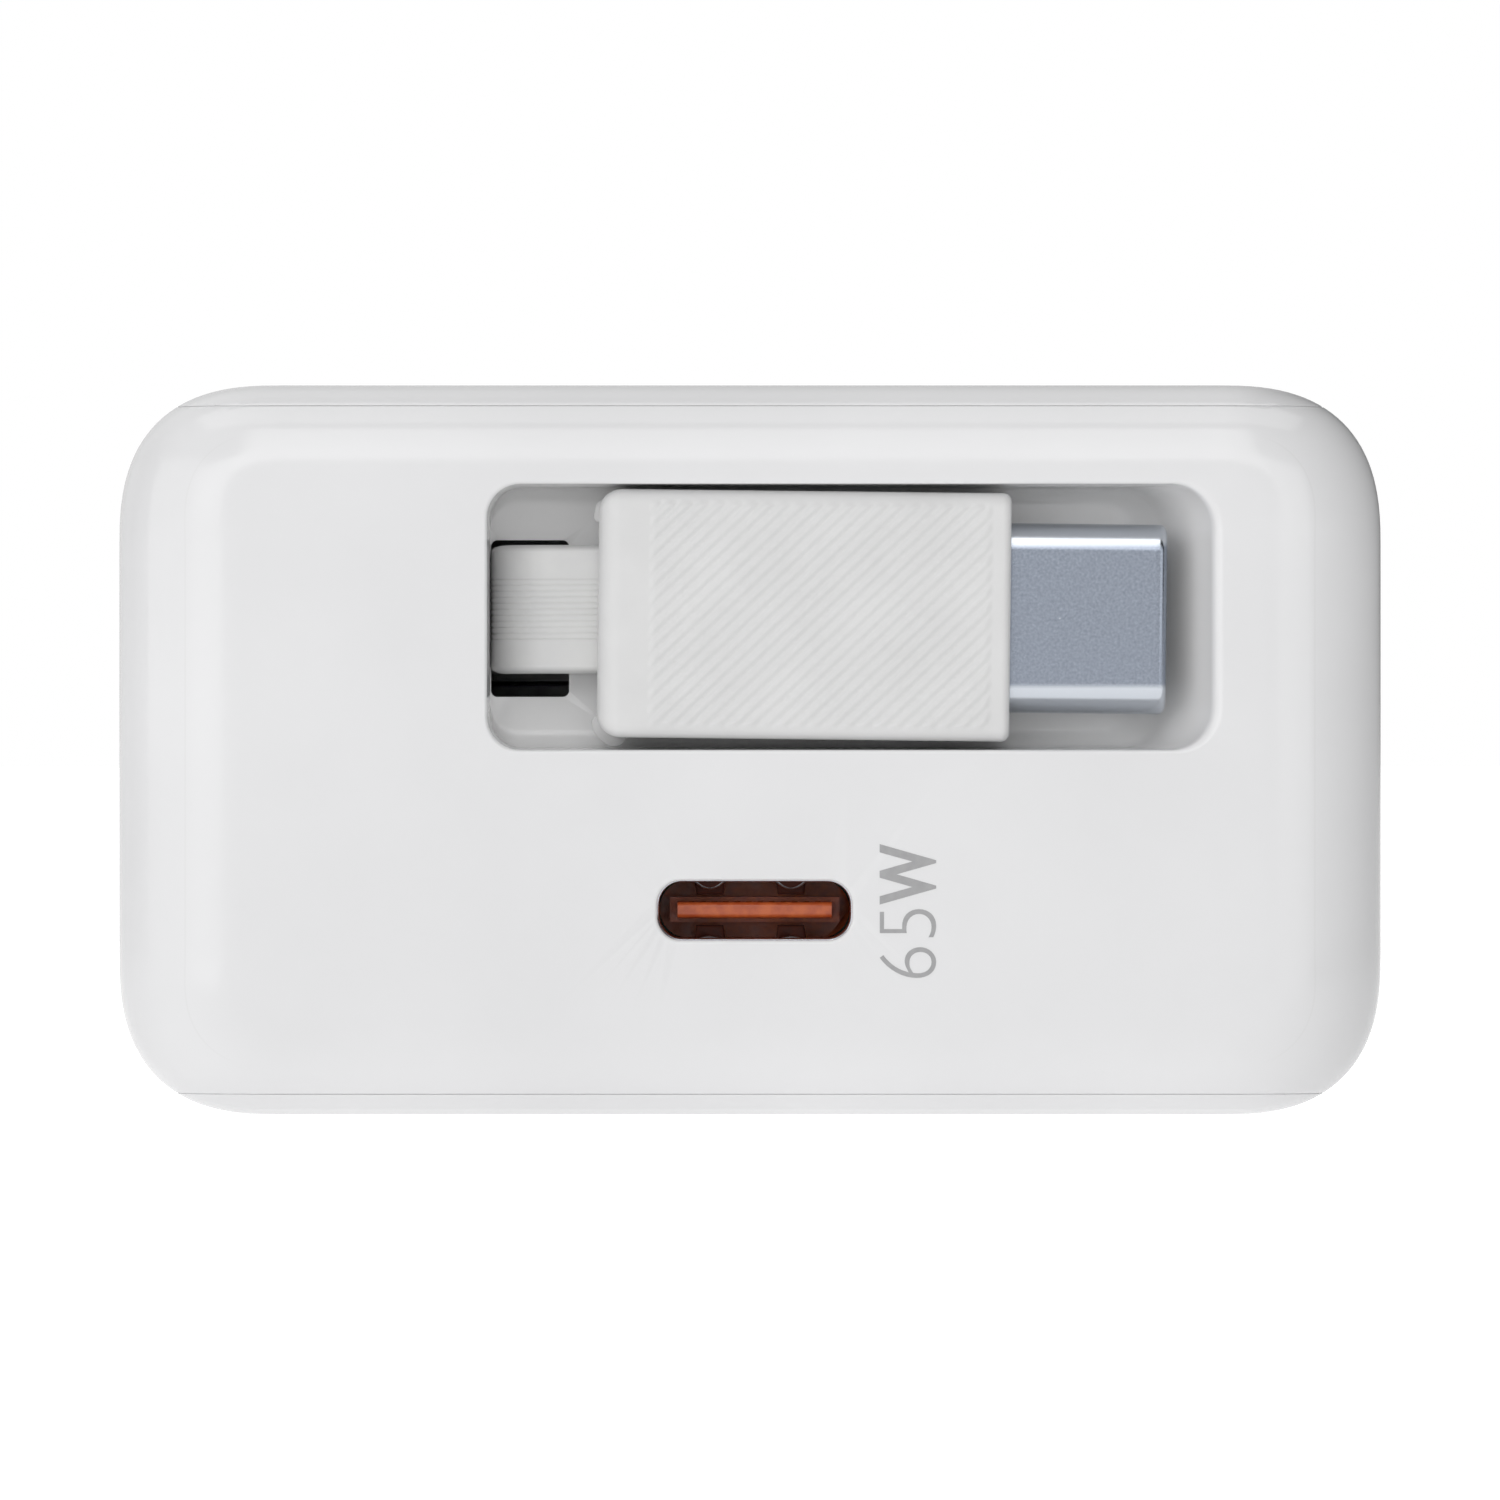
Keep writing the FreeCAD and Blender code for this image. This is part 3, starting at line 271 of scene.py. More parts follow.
def drawnAlongX(tree, place, share):
    # the pattern drawn out along X, as brushing and rolling leave it
    scale = {"Scale": (share, 1.0, 1.0)}
    return addNode(tree, "ShaderNodeMapping", scale, {"Vector": place}).outputs["Vector"]


def startMaterial(name, **shader):
    # a material with its fixed shader values set, and the Object coordinates for its patterns
    material = bpy.data.materials.new(name)
    material.use_nodes = True
    tree = material.node_tree
    surface = tree.nodes["Principled BSDF"]
    for key, value in shader.items():
        surface.inputs[key.replace("_", " ")].default_value = value
    place = addNode(tree, "ShaderNodeTexCoord").outputs["Object"]
    return material, tree, surface, place


def mottle(tree, surface, place, colours, size, spread=(0.35, 0.65)):
    # a soft drift between two near colours, size being the width of a patch in millimetres
    ramp = addNode(tree, "ShaderNodeValToRGB", links={"Fac": noiseOf(tree, place, size, 4.0)})
    for element, position, colour in zip(ramp.color_ramp.elements, spread, colours):
        element.position = position
        element.color = linearColour(colour)
    tree.links.new(ramp.outputs["Color"], surface.inputs["Base Color"])
    return ramp.outputs["Color"]


def roughnessDrift(tree, surface, place, size, least, most):
    # roughness wanders between two values, as on a handled or moulded surface
    drift = rangeOf(tree, noiseOf(tree, place, size, 5.0), 0.3, 0.7, least, most)
    tree.links.new(drift, surface.inputs["Roughness"])


def grain(tree, surface, place, size, height):
    # fine bump, its grains size millimetres wide and height millimetres deep
    bump = addNode(tree, "ShaderNodeBump", {"Strength": 1.0, "Distance": height * mm},
                   {"Height": noiseOf(tree, place, size, 3.0)})
    tree.links.new(bump.outputs["Normal"], surface.inputs["Normal"])


def specks(tree, surface, place, colour, spacing, width, speckColour):
    # sparse dots: one in five cells of a Voronoi pattern shows a dot of radius width about its centre
    cells = addNode(tree, "ShaderNodeTexVoronoi", {"Scale": 1 / (spacing * mm)}, {"Vector": place})
    near = mathNode(tree, "LESS_THAN", {0: cells.outputs["Distance"]}, {1: width / spacing})
    pick = addNode(tree, "ShaderNodeSeparateColor", links={"Color": cells.outputs["Color"]})
    rare = mathNode(tree, "GREATER_THAN", {0: pick.outputs["Red"]}, {1: 0.8})
    both = mathNode(tree, "MULTIPLY", {0: near, 1: rare})
    tree.links.new(mixColour(tree, both, colour, speckColour), surface.inputs["Base Color"])


def witnessLine(tree, place, colour):
    # the mould's parting line: hair-thin and slightly duller, 0.36 mm behind the front face at both ends
    split = addNode(tree, "ShaderNodeSeparateXYZ", links={"Vector": place})
    on = mathNode(tree, "COMPARE", {0: split.outputs["Y"]}, {1: cadBox[0][1] + 0.36 * mm, 2: 0.012 * mm})
    out = mathNode(tree, "ABSOLUTE", {0: split.outputs["X"]})
    share = mathNode(tree, "MULTIPLY", {0: on, 1: rangeOf(tree, out, 22.0 * mm, 23.2 * mm, 0.0, 0.4)})
    return mixColour(tree, share, colour, "#d2d2d2")


def insideRecess(tree, place):
    # the share of painted light in the recess, by how far a point lies inside it: 0 outside it or at its
    # mouth, 1 from 5 mm down
    split = addNode(tree, "ShaderNodeSeparateXYZ", links={"Vector": place})
    front = cadBox[0][1]
    share = rangeOf(tree, split.outputs["Y"], front + 0.3 * mm, front + 5.0 * mm)
    for axis, start, end in (("X", recessEdge["left"], recessEdge["right"]),
                             ("Z", recessEdge["low"], recessEdge["high"]),
                             ("Y", front / mm, front / mm + recessEdge["depth"] + 1)):
        within = mathNode(tree, "COMPARE", {0: split.outputs[axis]},
                          {1: (start + end) / 2 * mm, 2: ((end - start) / 2 + recessEdge["rim"]) * mm})
        share = mathNode(tree, "MULTIPLY", {0: share, 1: within})
    return share


def makeGlossCasing():
    # moulded glossy polycarbonate: clean white, painted paler down in the recess as painted light that lifts
    # the shade there, with a faint orange-peel ripple and a few dust specks
    material, tree, surface, place = startMaterial("mouldedPolycarbonate", IOR=1.5)
    face = mottle(tree, surface, place, ("#d6d6d7", "#dadadb"), 14.0)
    # painted light: the recess is painted paler towards its floor, lifting the shade that falls there
    inset = mixColour(tree, insideRecess(tree, place), face, "#f2f2f2")
    specks(tree, surface, place, witnessLine(tree, place, inset), 6.0, 0.055, "#bdbdbd")
    roughnessDrift(tree, surface, place, 9.0, 0.12, 0.17)
    grain(tree, surface, place, 1.6, 0.0012)
    return material


def makeSoftGrip():
    # moulded TPE: matte white with a fine toothed skin and faint handling marks
    material, tree, surface, place = startMaterial("mouldedElastomer", IOR=1.48, Sheen_Weight=0.08,
                                                   Sheen_Roughness=0.5)
    colour = mottle(tree, surface, place, ("#cdcdcd", "#d1d1d1"), 3.0)
    specks(tree, surface, place, colour, 2.6, 0.035, "#bcbcba")
    roughnessDrift(tree, surface, place, 2.0, 0.5, 0.62)
    grain(tree, surface, place, 0.11, 0.0035)
    return material


def makeRibbonSkin():
    # extruded TPE jacket: smoother than the grip, with dust in its grooves
    material, tree, surface, place = startMaterial("extrudedElastomer", IOR=1.48)
    colour = mottle(tree, surface, place, ("#c5c5c5", "#cacac9"), 2.0)
    specks(tree, surface, place, colour, 1.3, 0.03, "#a9a8a5")
    roughnessDrift(tree, surface, place, 1.5, 0.36, 0.46)
    grain(tree, surface, place, 0.2, 0.002)
    return material


def makeDrawnSteel():
    # nickel-plated drawn steel: blue-grey pickled flats with a fine speckle and bright pin dots, and
    # a painted highlight: paler colour on the rounds along the plug's two long edges, standing in for white
    # highlight lines
    material, tree, surface, place = startMaterial("platedDrawnSteel", Metallic=1.0)
    flat = mottle(tree, surface, place, ("#858c98", "#979eaa"), 0.12, (0.25, 0.75))
    z = addNode(tree, "ShaderNodeSeparateXYZ", links={"Vector": place}).outputs["Z"]
    bottom, top = (corner.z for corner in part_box("ribbon_lead"))  # the plug's axis is level with its ribbon
    away = mathNode(tree, "SUBTRACT", {0: z}, {1: (bottom + top) / 2})
    # painted highlight: the shell's two rounded edges are painted paler
    rounds = rangeOf(tree, mathNode(tree, "ABSOLUTE", {0: away}), 2.95 * mm, 3.2 * mm)
    specks(tree, surface, place, mixColour(tree, rounds, flat, "#ccd1d8"), 0.5, 0.022, "#ffffff")
    roughnessDrift(tree, surface, place, 0.12, 0.2, 0.26)
    grain(tree, surface, place, 0.07, 0.0008)
    return material


def makeSpringSteel():
    # rolled spring strip: darker, with lines along its length
    material, tree, surface, place = startMaterial("rolledSpringSteel", Metallic=1.0)
    mottle(tree, surface, place, ("#6f7276", "#86898d"), 0.8)
    roughnessDrift(tree, surface, place, 0.5, 0.22, 0.4)
    grain(tree, surface, place, 0.1, 0.002)
    return material


def makePlatedBrass():
    # nickel-flashed brass blade: pale metal, its long brushed lines along the blade
    material, tree, surface, place = startMaterial("nickelledBrass", Metallic=1.0)
    stretch = drawnAlongX(tree, place, 0.06)
    mottle(tree, surface, stretch, ("#c9c5ba", "#dad7cf"), 0.12)
    roughnessDrift(tree, surface, stretch, 0.1, 0.18, 0.34)
    grain(tree, surface, stretch, 0.07, 0.002)
    return material


def makeGoldContact():
    # gold flash over copper: warm and bright, slightly uneven
    material, tree, surface, place = startMaterial("goldFlash", Metallic=1.0)
    mottle(tree, surface, place, ("#c99a4e", "#e0b76a"), 0.3)
    roughnessDrift(tree, surface, place, 0.2, 0.16, 0.3)
    grain(tree, surface, place, 0.05, 0.0008)
    return material


def makeCopperWire():
    # enamelled magnet wire: copper under a clear amber varnish
    material, tree, surface, place = startMaterial("enamelledCopper", Metallic=1.0, Coat_Weight=1.0,
                                                   Coat_Roughness=0.08)
    mottle(tree, surface, place, ("#9a4a22", "#b9622f"), 0.5)
    roughnessDrift(tree, surface, place, 0.4, 0.22, 0.36)
    grain(tree, surface, place, 0.2, 0.004)
    return material


def makeSheetAluminium():
    # plain rolled sheet: pale, with rolling lines along X
    material, tree, surface, place = startMaterial("rolledAluminium", Metallic=1.0)
    stretch = drawnAlongX(tree, place, 0.05)
    mottle(tree, surface, stretch, ("#b9bbbd", "#cfd0d1"), 0.25)
    roughnessDrift(tree, surface, stretch, 0.2, 0.28, 0.42)
    grain(tree, surface, stretch, 0.12, 0.003)
    return material


def makePlainPart(name, dark, light, size, least, most, grainHeight, index, **shader):
    # two near shades and a gloss that wander over size millimetres, and a skin grain
    material, tree, surface, place = startMaterial(name, IOR=index, **shader)
    mottle(tree, surface, place, (dark, light), size)
    roughnessDrift(tree, surface, place, size, least, most)
    grain(tree, surface, place, 0.15, grainHeight)
    return material


def makeBoardMask():
    # solder mask printed over copper: green, with a faint pattern of paler tracks
    material, tree, surface, place = startMaterial("solderMask", IOR=1.5, Coat_Weight=0.4,
                                                   Coat_Roughness=0.15)
    tracks = addNode(tree, "ShaderNodeTexBrick", {"Scale": 1 / (1.6 * mm), "Mortar Size": 0.08},
                     {"Vector": place})
    tracks.inputs["Color1"].default_value = linearColour("#0f4a2b")
    tracks.inputs["Color2"].default_value = linearColour("#145534")
    tracks.inputs["Mortar"].default_value = linearColour("#1d6b42")
    tree.links.new(tracks.outputs["Color"], surface.inputs["Base Color"])
    roughnessDrift(tree, surface, place, 2.0, 0.3, 0.45)
    grain(tree, surface, place, 0.4, 0.003)
    return material


def makeFloor():
    # opal acrylic table top, lit from beneath: white, with a faint satin tooth
    material, tree, surface, place = startMaterial("opalAcrylic", Roughness=0.8)
    surface.inputs["Emission Color"].default_value = (1, 1, 1, 1)
    seen = addNode(tree, "ShaderNodeLightPath").outputs["Is Camera Ray"]
    glow = rangeOf(tree, seen, 0.0, 1.0, studio["floorGlow"], studio["floorSeen"])
    tree.links.new(glow, surface.inputs["Emission Strength"])
    mottle(tree, surface, place, ("#b4b4b4", "#b8b8b8"), 40.0)
    grain(tree, surface, place, 0.8, 0.01)
    return material


finishes = {
    "gloss_white": makeGlossCasing(),
    "soft_white": makeSoftGrip(),
    "ribbon": makeRibbonSkin(),
    "plated_steel": makeDrawnSteel(),
    "spring_steel": makeSpringSteel(),
    "brass_blade": makePlatedBrass(),
    "gold_contact": makeGoldContact(),
    "copper_wire": makeCopperWire(),
    "aluminium_sheet": makeSheetAluminium(),
    "green_board": makeBoardMask(),
}
# name, two shades, their patches in mm, least and most roughness, depth of grain in mm, refraction
plainFinishes = {
    # grey and faintly mottled by the fibres under its dull moulded skin
    "inner_plastic": ("glassFilledNylon", "#8f9193", "#a0a2a3", 1.2, 0.45, 0.6, 0.006, 1.53),
    # near black, its moulded skin just smooth enough for a soft sheen
    "black_plastic": ("blackNylon", "#0b0b0c", "#141415", 1.0, 0.35, 0.5, 0.004, 1.53),
    # warm orange, satin from the mould
    "orange_plastic": ("orangeResin", "#b04e24", "#c96430", 0.5, 0.3, 0.45, 0.003, 1.55),
    # dark, dry and slightly pitted from pressing and firing
    "ferrite": ("sinteredFerrite", "#2b2b2d", "#39393b", 0.6, 0.55, 0.75, 0.012, 1.6),
    # dark blue film, shrunk tight and shiny
    "capacitor_sleeve": ("shrinkSleeve", "#14172c", "#1c203a", 3.0, 0.2, 0.34, 0.003, 1.54),
    # yellow moulded box with a low gloss
    "yellow_case": ("epoxyFilledCase", "#c99b12", "#d8ac22", 2.0, 0.3, 0.42, 0.004, 1.56),
    # pale straw film with the gloss of its rollers
    "polyester_film": ("polyesterFilm", "#cdbf8d", "#dccf9f", 4.0, 0.18, 0.3, 0.002, 1.57),
    # cream, its glaze almost level
    "fuse_body": ("glazedCeramic", "#d9d7cf", "#e6e4dd", 1.0, 0.2, 0.32, 0.003, 1.55),
    # grey pad-printed ink, slightly duller than the casing
    "ink": ("printedInk", "#969697", "#9d9d9e", 0.4, 0.35, 0.45, 0.001, 1.5),
    # the socket's sleeve: a painted reflection, brown colour standing in for the orange resin that its drawn
    # walls reflect
    "sleeveReflectionPainted": ("sleevePaintedReflection", "#9a5a45", "#a8654f", 0.5, 0.28, 0.4, 0.003, 1.5),
}
for look, values in plainFinishes.items():
    finishes[look] = makePlainPart(*values)
# resin painted dark as painted shade for the socket's pockets, with almost no gloss left
finishes["pocketPaintedShade"] = makePlainPart("shadedResin", "#32150e", "#3f1c13", 0.4, 0.6, 0.75, 0.003, 1.5,
                                         Specular_IOR_Level=0.15)
slotOfNode = {s["node"]: s["material_slot"] for s in frame["record"]["subparts"]}
for node, part in frame["nodes"].items():
    part.data.materials.clear()
    part.data.materials.append(finishes[slotOfNode[node]])
print("materials made")


def dress(piece, slotName, body, finish=None):
    # finish, record slot and body of one piece
    piece.data.materials.clear()
    piece.data.materials.append(finishes[finish or slotName])
    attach(piece, body)
    return piece


# ---- camera, light and floor

low, high = (np.array(corner) / mm for corner in cadBox)
centreX, centreZ = (low[0] + high[0]) / 2, (low[2] + high[2]) / 2

view = {
    "frameWidth": 65.45,  # millimetres across the picture at the casing's widest section
    "sectionDepth": 5.0,  # how far that section lies behind the front face
    "distance": 760.0,
    "sensor": 36.0,
}


def setCamera():
    # straight in front of the casing, its lens set so that the section fills the stated width
    camera = bpy.data.objects.new("camera", bpy.data.cameras.new("camera"))
    bpy.context.scene.collection.objects.link(camera)
    camera.location = (centreX * mm, (low[1] - view["distance"]) * mm, centreZ * mm)
    camera.rotation_euler = (math.pi / 2, 0, 0)
    camera.data.sensor_width = view["sensor"]
    camera.data.lens = view["sensor"] * (view["distance"] + view["sectionDepth"]) / view["frameWidth"]
    camera.data.clip_start = 0.01
    camera.data.clip_end = 20
    bpy.context.scene.camera = camera


def addSoftbox(name, place, aim, size, power):
    # a rectangular lamp, turned to face a point
    data = bpy.data.lights.new(name, "AREA")
    data.shape = "RECTANGLE"
    data.size, data.size_y = size
    data.energy = power
    lamp = bpy.data.objects.new(name, data)
    bpy.context.scene.collection.objects.link(lamp)
    lamp.location = place
    away = np.array(aim) - np.array(place)
    away = away / np.linalg.norm(away)
    lamp.rotation_euler = (math.acos(-away[2]), 0, math.atan2(-away[0], away[1]))


studio = {
    "skyFront": 1.05,  # light from around the camera
    "skyBack": 0.5,  # from the white wall behind
    "skyTop": 0.5,  # and from overhead
    "skyRight": 0.1,  # share of it that is left at the right
    "floorSeen": 0.93,  # the table's own glow as the camera sees it
    "floorGlow": 0.68,  # and as it lights the object
    # name, place in metres, size in metres, power in watts
    "boxes": (
        ("frontTop", (0.0, -0.82, 0.55), (0.42, 0.85), 2.0),
        ("frontLeft", (-0.38, -0.86, 0.10), (0.42, 0.55), 1.15),
        ("frontRight", (0.38, -0.86, 0.10), (0.42, 0.55), 1.0),
        ("left", (-0.70, -0.40, 0.15), (0.70, 0.60), 1.3),
        ("top", (0.0, -0.05, 0.75), (0.90, 0.50), 1.6),
    ),
}


def setLight():
    # a white surround that is pale in view but lights the object only from the front, top and back, each by
    # a soft step of its direction, and less from the right
    world = bpy.data.worlds.new("studio")
    bpy.context.scene.world = world
    world.use_nodes = True
    tree = world.node_tree
    background = tree.nodes["Background"]
    background.inputs["Color"].default_value = (1, 1, 1, 1)
    way = addNode(tree, "ShaderNodeTexCoord").outputs["Generated"]
    split = addNode(tree, "ShaderNodeSeparateXYZ", links={"Vector": way})
    front = rangeOf(tree, split.outputs["Y"], -0.97, -0.7, studio["skyFront"], 0.2, "SMOOTHSTEP")
    back = rangeOf(tree, split.outputs["Y"], 0.3, 0.8, 0.0, studio["skyBack"], "SMOOTHSTEP")
    top = rangeOf(tree, split.outputs["Z"], 0.4, 0.8, 0.0, studio["skyTop"], "SMOOTHSTEP")
    shade = rangeOf(tree, split.outputs["X"], -0.05, 0.18, 1.0, studio["skyRight"], "SMOOTHSTEP")
    around = mathNode(tree, "ADD", {0: mathNode(tree, "ADD", {0: front, 1: back}), 1: top})
    sky = mathNode(tree, "MULTIPLY", {0: around, 1: shade})
    seen = addNode(tree, "ShaderNodeLightPath").outputs["Is Camera Ray"]
    tree.links.new(mathNode(tree, "MAXIMUM", {0: sky, 1: seen}), background.inputs["Strength"])
    for name, place, size, power in studio["boxes"]:
        addSoftbox(name, place, (0, 0, centreZ * mm), size, power)
    bpy.context.scene.view_settings.view_transform = "Standard"


def layFloor():
    # a wide flat sheet whose rows of points spread out with the square of their distance
    share = np.linspace(-1, 1, 41)
    along = 15000 * share * np.abs(share)
    x, y = np.meshgrid(along, along, indexing="ij")
    points = np.stack([x, y, np.zeros_like(x)], axis=-1).reshape(-1, 3)
    floor = meshPiece("studioFloor", [(points, gridFaces(41, 41, closed=False))])
    work = bmesh.new()
    work.from_mesh(floor.data)
    for face in work.faces:
        if face.normal.z < 0:
            face.normal_flip()
    work.to_mesh(floor.data)
    work.free()
    floor.data.materials.append(makeFloor())


setCamera()
setLight()
layFloor()
print("camera, light and floor set")


# ---- casing

casing = {
    "reach": 7.0,  # length of each soft corner along the sides
    "power": 2.6,  # superellipse exponent of the corners
    "endRound": 5.4,  # how far the front edge's round runs in from the left and right ends
    "sideRound": 3.7,  # and from the top and bottom
    "frontDepth": 4.6,
    "backRound": 3.0,
    "roundPower": 2.25,
    "seam": 0.95,  # height of a side cover's visible rim
    "seamGap": 0.04,
    "wall": 1.1,
}
frontY, backY = low[1] + 0.012, high[1]  # the ink of the rating stands on the front face


def casingOutline():
    # unit description of the outline: a base point and the outward way of its superelliptic corner
    halfX, halfZ = (high[0] - low[0]) / 2 - casing["reach"], (high[2] - low[2]) / 2 - casing["reach"]
    turn = np.linspace(0, math.pi / 2, 29)
    cornerX, cornerZ = np.cos(turn) ** (2 / casing["power"]), np.sin(turn) ** (2 / casing["power"])
    signs = [(1, 1), (-1, 1), (-1, -1), (1, -1)]
    base, way = [], []
    for k, (sx, sz) in enumerate(signs):
        ux, uz = (cornerX, cornerZ) if sx * sz > 0 else (cornerX[::-1], cornerZ[::-1])
        base.append(np.tile([sx * halfX, sz * halfZ], (len(turn), 1)))
        way.append(np.stack([sx * ux, sz * uz], axis=1))
        nextX, nextZ = signs[(k + 1) % 4]
        steps = 30 if nextX != sx else 14
        share = np.linspace(0, 1, steps + 1)[1:-1, None]
        start, end = np.array([sx * halfX, sz * halfZ]), np.array([nextX * halfX, nextZ * halfZ])
        base.append(start + (end - start) * share)
        side = (0, sz) if nextX != sx else (sx, 0)
        way.append(np.tile(side, (steps - 1, 1)))
    return np.concatenate(base), np.concatenate(way).astype(float)


outlineBase, outlineWay = casingOutline()


def casingRing(share, depth, endRound, sideRound):
    # the outline drawn in by its share of the edge round, which blends from the ends to the sides
    tilt = np.arctan2(np.abs(outlineWay[:, 1]), np.abs(outlineWay[:, 0])) / (math.pi / 2)
    reachIn = endRound + (sideRound - endRound) * smoothStep(tilt)
    scale = (casing["reach"] - reachIn * share)[:, None]
    flat = outlineBase + outlineWay * scale
    return np.stack([centreX + flat[:, 0], np.full(len(flat), depth), centreZ + flat[:, 1]], axis=1)


def casingSkin():
    # rings from the front edge, along the sides, to the back edge; each edge is a superelliptic quarter
    power = casing["roundPower"]
    turn = np.linspace(0, math.pi / 2, 19)
    sink, rise = 1 - np.cos(turn) ** (2 / power), 1 - np.sin(turn) ** (2 / power)
    rings = [casingRing(r, frontY + casing["frontDepth"] * s, casing["endRound"], casing["sideRound"])
             for s, r in zip(sink, rise)]
    rings += [casingRing(0, y, 1, 1)
              for y in np.linspace(frontY + casing["frontDepth"], backY - casing["backRound"], 14)[1:-1]]
    backRound = casing["backRound"]
    rings += [casingRing(r, backY - backRound * s, backRound, backRound)
              for s, r in zip(sink[::-1], rise[::-1])]
    return rings


slotEdge = {"left": -11.31, "right": -7.9, "low": 18.22, "high": 25.06, "radius": 0.28}
socketEdge = {"x": 0.2, "z": 8.95, "halfX": 4.22, "halfZ": 1.3, "radius": 1.05, "rim": 0.16, "wall": 1.1}
backEdge = {"halfX": 20.8, "halfZ": 10.4, "radius": 3.0, "rim": 0.2}


def recessRings():
    # the rim's quarter round, a wall with a little draft, then the floor's quarter round; the right side
    # also rolls in by a wide elliptic round and then a scoop, and the left wall runs straight to the slot
    e = recessEdge
    rings = []
    for t in np.linspace(0, math.pi / 2, 7):
        rings.append((-e["rim"] * (1 - math.sin(t)), e["rim"] * (1 - math.cos(t)), 0))
    wallEnd = e["depth"] - e["floorRound"]
    for depth in np.linspace(e["rim"], wallEnd, 25)[1:]:
        rings.append((e["draft"] * depth, depth, 0))
    for t in np.linspace(0, math.pi / 2, 9)[1:]:
        rings.append((e["draft"] * wallEnd + e["floorRound"] * (1 - math.cos(t)),
                      wallEnd + e["floorRound"] * math.sin(t), 1 - math.cos(t)))
    loops = []
    for inset, depth, floorShare in rings:
        sunk = depth / e["depth"]
        roll = math.sqrt(1 - (1 - min(depth / e["rollDepth"], 1)) ** 2)
        power = e["scoopPower"]
        scoop = e["roll"] * roll + e["scoop"] * (1 - max(0.0, 1 - sunk ** power) ** (1 / power))
        leftInset = min(inset, 0.06)
        radii = [max(0.35, r - inset * 0.4) for r in e["radii"]]
        loop = roundedLoop(e["left"] + leftInset, e["right"] - inset - scoop, e["low"] + inset,
                           e["high"] - inset, radii)
        loops.append(atDepth(loop, frontY + depth))
    return loops


def slotRings():
    # the slot through the recess floor
    e = slotEdge
    loop = roundedLoop(e["left"], e["right"], e["low"], e["high"], e["radius"], sideSteps=3)
    floorY = frontY + recessEdge["depth"]
    return [atDepth(loop, floorY), atDepth(loop, floorY + 0.5)]


def socketRings():
    # the obround window of the socket, its rim a small quarter round
    e = socketEdge
    loops = []
    for t in np.linspace(0, math.pi / 2, 6):
        grow = e["rim"] * (1 - math.sin(t))
        loops.append(atDepth(roundedLoop(e["x"] - e["halfX"] - grow, e["x"] + e["halfX"] + grow,
                                         e["z"] - e["halfZ"] - grow, e["z"] + e["halfZ"] + grow,
                                         e["radius"] + grow, arcSteps=14),
                             frontY + e["rim"] * (1 - math.cos(t))))
    loops.append(atDepth(loops[-1], frontY + 0.6))
    return loops


def backRings():
    # the window that the back plate fills
    e = backEdge
    loops = []
    for t in np.linspace(0, math.pi / 2, 5):
        grow = e["rim"] * (1 - math.sin(t))
        loops.append(atDepth(roundedLoop(-e["halfX"] - grow, e["halfX"] + grow, centreZ - e["halfZ"] - grow,
                                         centreZ + e["halfZ"] + grow, e["radius"] + grow),
                             backY - e["rim"] * (1 - math.cos(t))))
    loops.append(atDepth(loops[-1], backY - 0.8))
    return loops


def cutLevel(piece, height, keepAbove):
    # a flat cut across the piece that leaves one side of it
    work = bmesh.new()
    work.from_mesh(piece.data)
    geometry = work.verts[:] + work.edges[:] + work.faces[:]
    bmesh.ops.bisect_plane(work, geom=geometry, dist=1e-7, plane_co=(0, 0, height * mm), plane_no=(0, 0, 1),
                           clear_inner=keepAbove, clear_outer=not keepAbove)
    work.to_mesh(piece.data)
    work.free()


def buildCasing():
    # the wrap-round shell with its four openings, cut level for the two side covers
    skin = casingSkin()
    recess, slot, socket, rear = recessRings(), slotRings(), socketRings(), backRings()
    surfaces = [
        loft(skin), loft(recess), loft(slot), loft(socket), loft(rear),
        flatFill([skin[0], recess[0], socket[0]], frontY),
        flatFill([recess[-1], slot[0]], frontY + recessEdge["depth"]),
        flatFill([skin[-1], rear[0]], backY),
    ]
    shell = meshPiece("mainShell", surfaces)
    half = casing["seamGap"] / 2
    cutLevel(shell, low[2] + casing["seam"] + half, True)
    cutLevel(shell, high[2] - casing["seam"] - half, False)
    finishEdges(shell, 0.07, 2, 40.0, casing["wall"])
    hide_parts("main_shell")
    dress(shell, "gloss_white", "housing")
    for name, node, height, above in (("topCover", "top_cover", high[2] - casing["seam"] + half, True),
                                      ("bottomCover", "bottom_cover", low[2] + casing["seam"] - half, False)):
        cover = meshPiece(name, [loft(skin), lid(skin[0]), lid(skin[-1])])
        cutLevel(cover, height, above)
        finishEdges(cover, 0.07, 2, 40.0, casing["wall"])
        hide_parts(node)
        dress(cover, "gloss_white", "housing")


buildCasing()
print("casing built")


# ---- the printed power rating

rating = {
    "size": 3.55, "thick": 0.012, "x": 8.07, "height": 2.45,
    # text, change of stroke, where it starts and how long it is
    "parts": (("65", -0.07, 6.02, 2.98), ("W", 0.09, 9.2, 2.62)),
}


